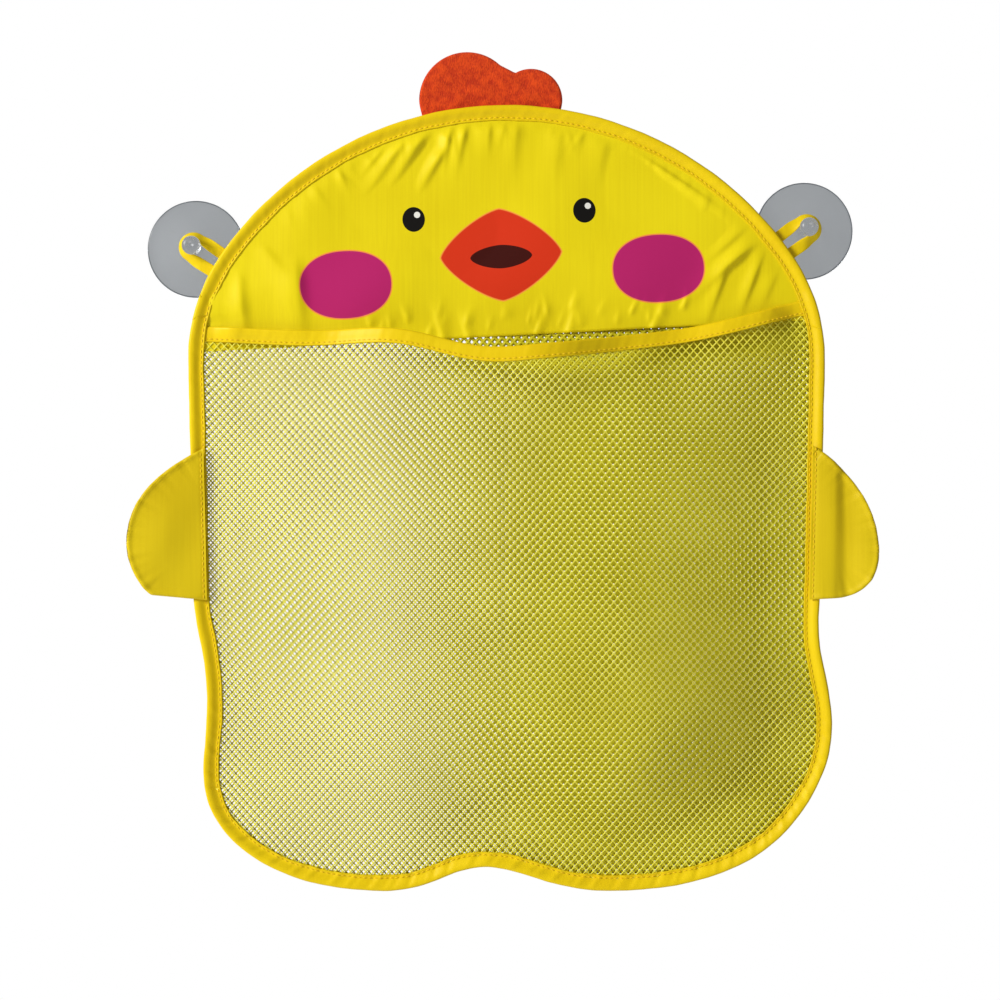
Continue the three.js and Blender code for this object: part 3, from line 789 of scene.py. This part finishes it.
def folded_tape(lengths, width, place, depth):
    """Points and faces of a tape folded lengthwise over an edge.
    place(length, inset) gives (x, z), and depth(length, inset, face) gives y of its outer side,
    where the face is -1 for the front flap and 1 for the back flap."""
    turn = np.linspace(math.pi / 2, 0, 7)
    flap = np.linspace(width, fold_round, 11)[:-1]
    insets = np.concatenate([flap, fold_round * (1 - np.cos(turn))])
    s, d = np.meshgrid(lengths, insets, indexing="ij")
    share = fold_share(d)

    def side(face, inner):
        inset = d + tape_thickness * (1 - share) * inner
        y = depth(s, d, face) - face * tape_thickness * share * inner
        x, z = np.moveaxis(place(s, inset), -1, 0)
        return np.stack([x, y, z], axis=-1)

    front, back = side(-1, 0), side(1, 0)[:, -2::-1]
    back_lining, front_lining = side(1, 1), side(-1, 1)[:, -2::-1]
    return loft(np.concatenate([front, back, back_lining, front_lining], axis=1))


def stitches(line, outward):
    """Points and faces of a row of sunk thread stitches along a line of points."""
    length = lengths_along(line)
    middles = np.arange(stitch_pitch / 2, length[-1], stitch_pitch)

    def at(where):
        return np.stack([np.interp(where, length, line[:, k]) for k in range(3)], axis=-1)

    along = unit(at(middles + stitch_length / 2) - at(middles - stitch_length / 2))
    out = np.broadcast_to(np.asarray(outward, float), along.shape)
    across = np.cross(along, out)
    forth = np.array([-0.5, -0.3, 0.3, 0.5]) * stitch_length
    stout = np.array([0.4, 1.0, 1.0, 0.4]) * thread_radius
    raised = np.array([-0.8, 0.4, 0.4, -0.8]) * thread_radius
    turn = np.linspace(0, 2 * math.pi, 6, endpoint=False)
    centre = at(middles[:, None] + forth[None, :]) + raised[None, :, None] * out[:, None, :]
    ring = np.cos(turn)[:, None] * across[:, None, None]
    ring = ring + np.sin(turn)[:, None] * out[:, None, None]
    points = centre[:, :, None, :] + stout[None, :, None, None] * ring
    all_points, all_faces = [], []
    for k, sections in enumerate(points):
        stitch_points, stitch_faces = loft(sections)
        all_points.append(stitch_points)
        all_faces += [[corner + k * len(stitch_points) for corner in f] for f in stitch_faces]
    return np.concatenate(all_points), all_faces


def stitch_row(lengths, inset, place, depth, face):
    """Points and faces of the stitches along a folded tape, on its front or back flap."""
    at = np.full(len(lengths), inset)
    x, z = place(lengths, at).T
    return stitches(np.stack([x, depth(lengths, at, face), z], axis=1), (0, face, 0))


def sewing_thread(name, bright, deep):
    """Twisted polyester thread."""
    material, tree, shader, place = new_material(name, 0.5, specular_ior_level=0.2)
    ply = stretched_noise(tree, place, (2500,) * 3, detail=1.0)
    dress(tree, shader, blend_colours(tree, ply, deep, bright), ply, 0.5, 0.06 * mm)
    return material


tape_tones = (0.84, 0.62, 0.005, 1), (0.72, 0.48, 0.003, 1)
tape = woven_cloth("binding_tape", *tape_tones, 0.4, tape_thread)
thread = sewing_thread("sewing_thread", (0.88, 0.61, 0.012, 1), (0.74, 0.46, 0.006, 1))


def hem_place(x, down):
    return np.stack([x, mouth_at(x) - down], axis=-1)


def hem_depth(x, down, face):
    """The hem follows the net's top edge. Its right part leans back, and its left part forward."""
    from_end = np.minimum(x - mouth[0, 0], mouth[-1, 0] - x)
    free = rise(from_end, 0, 14)
    lean_back = rise(x, 60, 45) * (down - hem_lap)
    lean_forward = rise(-x, 85, 35) * (hem_width - down)
    middle = front_surface(x, mouth_at(x) - down) - hem_tilt * free * (lean_back + lean_forward)
    half = hem_end_half + (hem_half - hem_end_half) * free
    sewn = 1 - 0.3 * rise(down, 3, 3.5)
    pucker = waves(x + 0.4 * down, 6 + face, (5.3 * mm, 8.9 * mm, 21 * mm), (hem_pucker,) * 3)
    pucker *= rise(abs(x), 0, 8)
    return middle + face * fold_share(down) * (half * sewn + pucker * free)


# The first two stations of each half lie close together, so that the halves meet in flat ends
for side, body_side in halves:
    hem_end = (mouth[0, 0] - hem_tuck) if body_side < 0 else (mouth[-1, 0] + hem_tuck)
    stations = np.linspace(body_side * hem_butt, hem_end, hem_stations)
    stations = np.concatenate([[0], stations])
    mesh = folded_tape(stations, hem_width, hem_place, hem_depth)
    hem = make_piece(f"pocket_hem_{side}", *mesh, tape)
    row = stitch_row(stations, hem_width - stitch_inset, hem_place, hem_depth, -1)
    hem_stitches = make_piece(f"hem_stitches_{side}", *row, thread)
    for piece in (hem, hem_stitches):
        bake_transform(piece)
        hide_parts("pocket_hem")

# Edge binding: the same tape, folded round the raw edges of all layers and topstitched.
# One length goes over the dome and one round the sides and lobes; the dome's ends lap over it.
# The stitching draws it into small puckers, deepest where it is bent round the lobes.
binding_width, binding_lap, binding_step = 8.5 * mm, 10 * mm, 1.5 * mm
binding_lip, binding_gather, lobe_gather = 0.4 * mm, 0.12 * mm, 0.3 * mm
join_slant, join_run = 0.6, 12 * mm
dome_half = 1.8 * mm
dome_middle = panel_front - 0.05 * mm
binding_low, binding_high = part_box("dome_binding")
skirt_half = (binding_high.y - binding_low.y) / 2
skirt_middle = (binding_low.y + binding_high.y) / 2
dome_turn = turn_of(fold_corners("dome_binding"))
join_length = np.interp(dome_turn[dome_turn < math.pi].max(), turn_of(edge), edge_length[:-1])
stitch_line = binding_width - stitch_inset
# The stitching's pinch of the front and back flap on the dome, and how much less it is lower down
flap_pinch = {-1: (0.85, 0.11), 1: (0.28, 0.08)}


def binding_maker(start, end, lap):
    """Place and depth of a binding tape between two lengths along the bag's edge.
    A tape that laps over another stands out by the lap near its ends."""

    def near_end(length):
        return 1 - ease(np.minimum(length - start, end - length) / join_run)

    def place(length, inset):
        to_start = 1 - ease((length - start) / join_run)
        to_end = 1 - ease((end - length) / join_run)
        slant = join_slant * (inset - binding_width / 2) * (to_start - to_end)
        wobble = waves(length, 31, (23 * mm, 41 * mm, 9 * mm), (0.16 * mm, 0.16 * mm, 0.07 * mm))
        return edge_point(length + slant, inset + wobble * (inset / binding_width - 0.35))

    def depth(length, inset, face):
        height = edge_point(length)[..., 1]
        full = tape_rise(height)
        most, less = flap_pinch[face]
        sewn = 1 - (most - less * full) * rise(inset, 2.2, 4.6)
        lip = binding_lip * ease((inset - stitch_line) / stitch_inset)
        gather = binding_gather + lobe_gather * rise(-height, 230, 70)
        bias = length + 0.7 * inset
        pucker = waves(bias, 40 + face, (4.6 * mm, 7.7 * mm, 12.5 * mm), (0.4, 0.5, 0.4))
        pucker = gather * (pucker - 0.5) * rise(inset, 0, 4)
        middle = dome_middle + (skirt_middle - dome_middle) * full
        half = dome_half + (skirt_half - dome_half) * full
        stand = half * sewn + lap * near_end(length) + pucker + lip
        return middle + face * fold_share(inset) * stand

    return place, depth


left_join, right_join = 1 * mm - join_length, join_length + 5 * mm
skirt_end = edge_length[-1] + left_join + binding_lap
binding_ends = {
    "dome_binding": (left_join, right_join, 0.04 * mm),
    "skirt_binding": (right_join - binding_lap, skirt_end, -0.18 * mm),
}
for node, (start, end, lap) in binding_ends.items():
    place, depth = binding_maker(start, end, lap)
    stations = np.linspace(start, end, int((end - start) / binding_step))
    binding = make_piece(f"{node}_tape", *folded_tape(stations, binding_width, place, depth), tape)
    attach(binding, "bag")
    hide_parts(node)
    for face, side in ((-1, "front"), (1, "back")):
        row = stitch_row(stations, stitch_line, place, depth, face)
        row_piece = make_piece(f"{node}_stitches_{side}", *row, thread)
        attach(row_piece, "bag")

# Wings: two layers of the panel's cloth sewn together and turned out, so that the outer edge is
# rolled and a little puckered. The straight edge is topstitched over the side binding's front.
# The left wing comes forward toward its outer edge; the right one has an upright fold.
wing_half, wing_rim_half, wing_clearance = 0.5 * mm, 1.0 * mm, 0.1 * mm
wing_columns, wing_rows = 70, 110
seam_reach, seam_sink = 1.6, 0.2 * mm
# The wings' cloth is the panel's cloth in darker tones: painted shade.
wing_shaded_tones = (0.72, 0.54, 0.007, 1), (0.6, 0.42, 0.004, 1)
wing_cloth = woven_cloth("wing_cloth", *wing_shaded_tones, 0.44, cloth_thread)


def bunched(count):
    """Shares from 0 to 1 that lie closer together toward both ends."""
    return (1 - np.cos(np.linspace(0, math.pi, count))) / 2


def curve(a, b, c, d, steps=40):
    """Points of a curve from a to d that sets out toward b and arrives from c."""
    t = np.linspace(0, 1, steps)[:, None]
    a, b, c, d = (np.array(p, float) for p in (a, b, c, d))
    return a * (1 - t) ** 3 + 3 * b * t * (1 - t) ** 2 + 3 * c * t**2 * (1 - t) + d * t**3


def left_fold(reach, up):
    """The left wing comes forward toward its outer edge, in millimetres."""
    return 6.0 * ease((reach + 8) / 58) + 0.6 * hump(reach - 22, 10) * hump(up - 40, 26)


def right_fold(reach, up):
    """The right wing rises to an upright fold, falls away behind it and then comes forward again
    toward its outer edge, in millimetres."""
    crest_at = 14.5
    fall_run = 5 + 4 * np.clip(1 - up / 84, 0, 1)
    fold = 2.8 * ease((reach + 4) / (crest_at + 4)) - 1.8 * ease((reach - crest_at) / fall_run)
    return fold + 3.4 * ease((reach - crest_at - 0.7 * fall_run) / 17)


# Each wing's outline in millimetres from its foot, (reach outward, height up): the underside from
# the foot to the tip, then the upper side from the tip back to the straight edge
wing_shapes = {
    "left": (
        [[(0.6, -0.4), (30, 3.2)], curve((30, 3.2), (33, 3.8), (43.1, 17), (43.1, 31))],
        curve((43.1, 31), (43.1, 54), (28, 70), (0.6, 83)),
        left_fold,
    ),
    "right": (
        [[(2.6, 0), (18, 1.2)], curve((18, 1.2), (28, 2.2), (39.3, 9), (39.3, 26))],
        curve((39.3, 26), (39.3, 51), (23, 72), (2.6, 84.5)),
        right_fold,
    ),
}
joint_named = {joint["name"]: joint for joint in frame["joints"]}
for side, (underside, upper_side, fold) in wing_shapes.items():
    hinge = joint_named[f"{side}_wing_flap"]
    foot = np.array(hinge["pos_m"])
    upward = np.array(hinge["axis"]) * np.sign(hinge["axis"][2])
    outward = np.array([upward[2], 0, -upward[0]]) * np.sign(foot[0])
    underside = np.concatenate(underside)
    first, tip = underside[0, 0], underside[-1, 0]
    column = first + (tip - first) * bunched(wing_columns)
    low, high = np.interp(column, *underside.T), np.interp(column, *upper_side[::-1].T)
    reach = np.repeat(column[:, None], wing_rows, axis=1)
    up = low[:, None] + (high - low)[:, None] * bunched(wing_rows)
    rim_line = np.concatenate([underside, upper_side])
    gaps = np.hypot(reach[..., None] - rim_line[:, 0], up[..., None] - rim_line[:, 1])
    from_rim = np.minimum(gaps.min(axis=-1), np.minimum(up - low[:, None], high[:, None] - up))
    rim_length = lengths_along(rim_line)[gaps.argmin(axis=-1)] * mm
    pucker = waves(rim_length, 71, (6.1 * mm, 9.7 * mm, 15 * mm), (0.2, 0.22, 0.16))
    pucker *= np.exp(-from_rim / 5)
    roll = hump(from_rim - 1.4, 1.5) * ease((reach - first) / 6)
    half = wing_half + (wing_rim_half - wing_half) * roll
    half -= seam_sink * hump(reach - first - seam_reach, 1.1)
    half *= np.sqrt(ease(0.08 + from_rim / 1.3))
    forward = fold(reach, up) - fold(first, up) + pucker + 0.25 * np.sin(up / 9 + reach / 6)
    forward = np.maximum(forward * mm, 0)
    middle_y = binding_low.y - wing_clearance - wing_half - forward
    flat = foot + upward * (up * mm)[..., None] + outward * (reach * mm)[..., None]
    front, back = flat.copy(), flat.copy()
    front[..., 1], back[..., 1] = middle_y - half, middle_y + half
    wing = make_piece(f"{side}_wing_cloth", *shell(front, back), wing_cloth)
    row = front[np.abs(column - first - seam_reach).argmin(), 4:-4]
    wing_stitches = make_piece(f"{side}_wing_stitches", *stitches(row, (0, -1, 0)), thread)
    for piece in (wing, wing_stitches):
        near, far = foot + outward * 4 * mm, foot + outward * 11 * mm
        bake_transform(piece)
        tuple(near)
        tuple(far)
    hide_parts(f"{side}_wing_back", f"{side}_wing_front")

# Comb: one piece of orange-red needled felt, 2 mm thick, cut as a large lobe and a small one.
# Its foot is sewn behind the dome's binding, and the cut edges are soft and hairy.
lobe_x, lobe_radius = -21.7, 26.5
tip_x, tip_radius = 13.5, 17.3
lobe_rise, lump_height = 3.3, 0.12 * mm
foot_pinch, foot_x = 0.05, -9 * mm
lobe_end, tip_start = math.radians(47), math.radians(120)
comb_columns, comb_rows = 120, 60
comb_low, comb_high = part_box("comb")
comb_half = (comb_high.y - comb_low.y) / 2
comb_foot = inset_edge(binding_width)


def needled_felt(name, bright, deep, pale):
    """Matted short fibres with paler hairs and small hollows."""
    material, tree, shader, place = new_material(
        name, 0.9, sheen_weight=0.08, sheen_roughness=0.6, specular_ior_level=0.15
    )
    patches = stretched_noise(tree, place, (160,) * 3, detail=4.0)
    hairs = stretched_noise(tree, place, (2400, 900, 800), detail=4.0)
    lumps = stretched_noise(tree, place, (240,) * 3, detail=3.0)
    mat = combine(tree, "ADD", hairs, lumps)
    colour = blend_colours(tree, in_range(tree, mat, 0.72, 1.25), deep, bright)
    pale_share = in_range(tree, combine(tree, "MULTIPLY", hairs, patches), 0.36, 0.55)
    dress(tree, shader, blend_colours(tree, pale_share, colour, pale), mat, 0.8, 0.5 * mm)
    return material


felt_tones = (0.76, 0.066, 0.004, 1), (0.48, 0.026, 0.002, 1), (0.76, 0.13, 0.02, 1)
felt = needled_felt("comb_felt", *felt_tones)


def comb_top(x):
    """Height of the comb's upper edge above the dome, in millimetres."""
    lobe = lobe_rise + np.sqrt(np.maximum(lobe_radius**2 - (x - lobe_x) ** 2, 0))
    tip = lobe_rise + np.sqrt(np.maximum(tip_radius**2 - (x - tip_x) ** 2, 0))
    flank_from = lobe_x + lobe_radius * math.cos(lobe_end)
    flank_to = tip_x + tip_radius * math.cos(tip_start)
    flank_top = lobe_rise + lobe_radius * math.sin(lobe_end)
    flank_low = lobe_rise + tip_radius * math.sin(tip_start)
    flank = np.interp(x, (flank_from, flank_to), (flank_top, flank_low))
    return np.where(x < flank_from, lobe, np.where(x < flank_to, flank, tip))


comb_left, comb_right = lobe_x - lobe_radius, tip_x + tip_radius
comb_x = comb_left + (comb_right - comb_left) * bunched(comb_columns)
comb_base = top_at(comb_foot, comb_x * mm) + 0.3 * mm
comb_up = dome_top + comb_top(comb_x) * mm
x = np.repeat(comb_x[:, None] * mm, comb_rows, axis=1)
z = comb_base[:, None] + (comb_up - comb_base)[:, None] * bunched(comb_rows)
rim_parts = [(comb_x * mm, comb_up), (x[0], z[0]), (x[-1], z[-1])]
rim_line = np.concatenate([np.stack(part, axis=1) for part in rim_parts])
rounded = np.sqrt(ease(0.12 + gap_to(rim_line, x, z) / (1.6 * mm)))
lumps = np.sin(x / (3.1 * mm) + 2 * np.sin(z / (4.3 * mm)))
lumps = lump_height * (lumps + np.sin(z / (2.7 * mm) - x / (5.1 * mm)))
pinch = 1 - foot_pinch * rise(dome_top + lobe_rise * mm - z, 0, 12)
x = x * pinch + foot_x * (1 - pinch)
comb_middle = (comb_low.y + comb_high.y) / 2
front = np.stack([x, comb_middle - comb_half * rounded - lumps * rounded, z], axis=-1)
back = np.stack([x, comb_middle + comb_half * rounded - lumps * rounded, z], axis=-1)
comb = make_piece("comb_felt_piece", *shell(front, back), felt)
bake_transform(comb)
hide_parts("comb")

# Loops: a narrow tape at each shoulder. Its two legs are sewn flat behind the dome's binding, and
# between them it turns on edge to go round the neck of a suction cup.
loop_width, loop_thickness = 6.5 * mm, 0.9 * mm
loop_tail, loop_leg, loop_eye = 7 * mm, 5.6 * mm, 6.0 * mm
loop_steps = 44
loop_twist = math.radians(50)

# Suction cups: clear soft vinyl, each a thin dished disc with a neck and a mushroom head.
# They hang in the loops by their necks, and their rims lie in one plane behind the bag.
cup_segments = 96
cup_rim, cup_head = 26.3 * mm, 5.2 * mm


def clear_vinyl(name, thin, thick, roughness):
    """Clear vinyl with a faint grey cast and slight cloudiness."""
    material, tree, shader, place = new_material(
        name, roughness, transmission_weight=1.0, ior=1.4, specular_ior_level=0.04
    )
    cloud = stretched_noise(tree, place, (130,) * 3, detail=3.0)
    tree.links.new(blend_colours(tree, cloud, thick, thin), shader.inputs["Base Color"])
    vary_gloss(tree, shader, cloud, roughness - 0.06, roughness + 0.06)
    return material


def lathe(profile, centre):
    """Points and faces of a turned shape about an axis along y; profile is (radius, y)."""
    turn = np.linspace(0, 2 * math.pi, cup_segments, endpoint=False)
    radius, y = profile[1:-1].T[..., None]
    ring = np.stack([radius * np.cos(turn), y + 0 * turn, radius * np.sin(turn)], axis=-1)
    index, faces = tube(len(radius), cup_segments)
    ahead = np.roll(index, -1, axis=1)
    caps = (ahead[0], index[0], index.size), (index[-1], ahead[-1], index.size + 1)
    for first, second, middle in caps:
        faces += np.stack([first, second, np.full(cup_segments, middle)], axis=-1).tolist()
    ends = np.array([(0, profile[0, 1], 0), (0, profile[-1, 1], 0)])
    return np.concatenate([ring.reshape(-1, 3), ends]) + centre, faces


# Half of a cup's section in millimetres, (radius, distance from the rim's plane), from the middle
# of the hollow over the rim, up the disc and the neck, to the middle of the head
cup_profile = np.concatenate([
    curve((0, 3.4), (10, 3.4), (16, 1.6), (23.5, 0.15), 20),
    curve((23.5, 0.15), (25, 0), (26.4, 0), (27, 0.3), 8),
    curve((27, 0.3), (27.05, 0.7), (26.6, 0.95), (26, 1.05), 6),
    curve((26, 1.05), (18, 2.6), (11, 5.2), (6.2, 6.6), 20),
    curve((6.2, 6.6), (4.8, 7.2), (3.9, 7.8), (3.9, 9), 10),
    curve((3.9, 9), (3.9, 12), (3.9, 14.2), (3.95, 14.7), 10),
    curve((3.95, 14.7), (4.4, 15), (5.1, 15), (5.1, 17), 12),
    curve((5.1, 17), (5.1, 19.2), (3.9, 20.4), (2.1, 20.4), 12),
    curve((2.1, 20.4), (1.5, 20.4), (1.2, 19.8), (0, 19.7), 8),
])
apart = np.diff(lengths_along(cup_profile), prepend=-1) > 0.01
cup_profile = cup_profile[apart]
head_vinyl = clear_vinyl("clear_vinyl", (0.86, 0.89, 0.91, 1), (0.78, 0.81, 0.83, 1), 0.28)
disc_vinyl = clear_vinyl("vinyl_disc", (0.9, 0.93, 0.95, 1), (0.84, 0.87, 0.89, 1), 0.72)
# The rim's vinyl is the same clear vinyl in far darker tones: painted shade for its dark outline.
rim_vinyl_painted_shade = clear_vinyl("vinyl_rim_painted_shade", (0.3, 0.33, 0.36, 1), (0.22, 0.25, 0.28, 1), 0.3)
for side in ("left", "right"):
    seat = np.array(joint_named[f"{side}_loop_swing"]["pos_m"])
    neck = np.array(joint_named[f"{side}_cup_spin"]["pos_m"])
    loop_reach = np.linalg.norm(neck - seat)
    outward = (neck - seat) / loop_reach
    aside = np.array([outward[2], 0, -outward[0]])
    depthwise = np.array([0, 1, 0])
    leg_reach = np.linspace(-loop_tail, loop_reach, loop_steps)
    turned = ease(leg_reach / loop_reach)
    leg_aside = loop_leg + (loop_eye - loop_leg) * turned
    bend = np.linspace(0, math.pi, 26)[1:-1]
    path_out = np.concatenate([leg_reach, loop_reach + loop_eye * np.sin(bend), leg_reach[::-1]])
    path_aside = np.concatenate([-leg_aside, -loop_eye * np.cos(bend), leg_aside[::-1]])
    edgewise = ease(leg_reach / loop_reach * 1.5 - 0.5)
    twist = np.concatenate([edgewise, np.ones(len(bend)), edgewise[::-1]]) * loop_twist
    path = seat + path_out[:, None] * outward + path_aside[:, None] * aside
    along = unit(np.gradient(path, axis=0))
    level = np.cross(along, depthwise)
    broad = np.cos(twist)[:, None] * level + np.sin(twist)[:, None] * depthwise
    thin = np.cross(along, broad)
    corner = np.linspace(0, 2 * math.pi, 20, endpoint=False)
    wide = np.sign(np.cos(corner)) * np.abs(np.cos(corner)) ** 0.35 * loop_width / 2
    thick = np.sign(np.sin(corner)) * np.abs(np.sin(corner)) ** 0.5 * loop_thickness / 2
    sections = path[:, None] + wide[:, None] * broad[:, None] + thick[:, None] * thin[:, None]
    loop = make_piece(f"{side}_loop_tape", *loft(sections), tape)
    near, far = seat - outward * 2 * mm, seat + outward * 4 * mm
    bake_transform(loop)
    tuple(near)
    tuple(far)
    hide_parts(f"{side}_loop")

    section = cup_profile * (mm, -mm)
    cup = make_piece(f"{side}_cup_vinyl", *lathe(section, neck * (1, 0, 1)), head_vinyl)
    cup.data.materials.append(disc_vinyl)
    cup.data.materials.append(rim_vinyl_painted_shade)
    for face in cup.data.polygons:
        reach = math.hypot(face.center.x - neck[0], face.center.z - neck[2])
        # Faces beyond the rim's radius take the painted-shade rim vinyl.
        face.material_index = int(reach > cup_head) + int(reach > cup_rim)
    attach(cup, f"{side}_cup")
    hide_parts(f"{side}_suction_cup")

# Floor, light and camera: a plain pale floor far below the hung bag, a large soft light from the
# left and in front, and a camera straight in front of the bag. The surroundings look white, and
# light the bag only weakly.
floor_z, floor_radius = -1.35, 3.2
light_place, light_size, light_watts = (-2.3, -1.6, 0.85), 0.85, 94
picture_width, camera_distance = 550 * mm, 1.0

floor_mesh = bpy.data.meshes.new("floor")
turn = np.linspace(0, 2 * math.pi, 96, endpoint=False)
floor_rim = floor_radius * np.stack([np.cos(turn), np.sin(turn), 0 * turn], axis=1)
floor_mesh.from_pydata(floor_rim.tolist(), [], [list(range(len(turn)))])
floor = put_in_scene("floor", floor_mesh)
floor.location.z = floor_z
floor_paint, floor_tree, floor_shader, floor_place = new_material("floor_paint", 0.8)
floor_tone = stretched_noise(floor_tree, floor_place, (4,) * 3)
floor_tree.links.new(
    blend_colours(floor_tree, floor_tone, (0.9, 0.9, 0.89, 1), (0.94, 0.94, 0.93, 1)),
    floor_shader.inputs["Base Color"],
)
floor_shader.inputs["Emission Color"].default_value = (1, 1, 1, 1)
floor_shader.inputs["Emission Strength"].default_value = 0.16
floor_mesh.materials.append(floor_paint)

world = bpy.data.worlds.new("white_room")
bpy.context.scene.world = world
world.use_nodes = True
sky = world.node_tree
lit = sky.nodes["Background"]
lit.inputs["Color"].default_value = (0.97, 0.98, 1, 1)
lit.inputs["Strength"].default_value = 0.3
seen = add_node(sky, "Background", {"Color": (1, 1, 1, 1)})
ray = sky.nodes.new("ShaderNodeLightPath").outputs
share = combine(sky, "MULTIPLY_ADD", ray["Is Transmission Ray"], 0.1, ray["Is Camera Ray"])
either = add_node(sky, "MixShader", {0: share, 1: lit.outputs[0], 2: seen})
sky.links.new(either, sky.nodes["World Output"].inputs[0])

lamp = bpy.data.lights.new("key_light", "AREA")
lamp.size, lamp.energy = light_size, light_watts
light = put_in_scene("key_light", lamp)
light.location = light_place
way = Vector((0, 0, bag_middle_z)) - Vector(light_place)
light.rotation_euler = way.to_track_quat("-Z", "Y").to_euler()

lens = bpy.data.cameras.new("camera")
lens.lens = lens.sensor_width * camera_distance / picture_width
camera = put_in_scene("camera", lens)
camera.location = (picture_centre[0], panel_front - camera_distance, picture_centre[1])
camera.rotation_euler = (math.pi / 2, 0, 0)
bpy.context.scene.camera = camera
bpy.context.scene.view_settings.view_transform = "Standard"
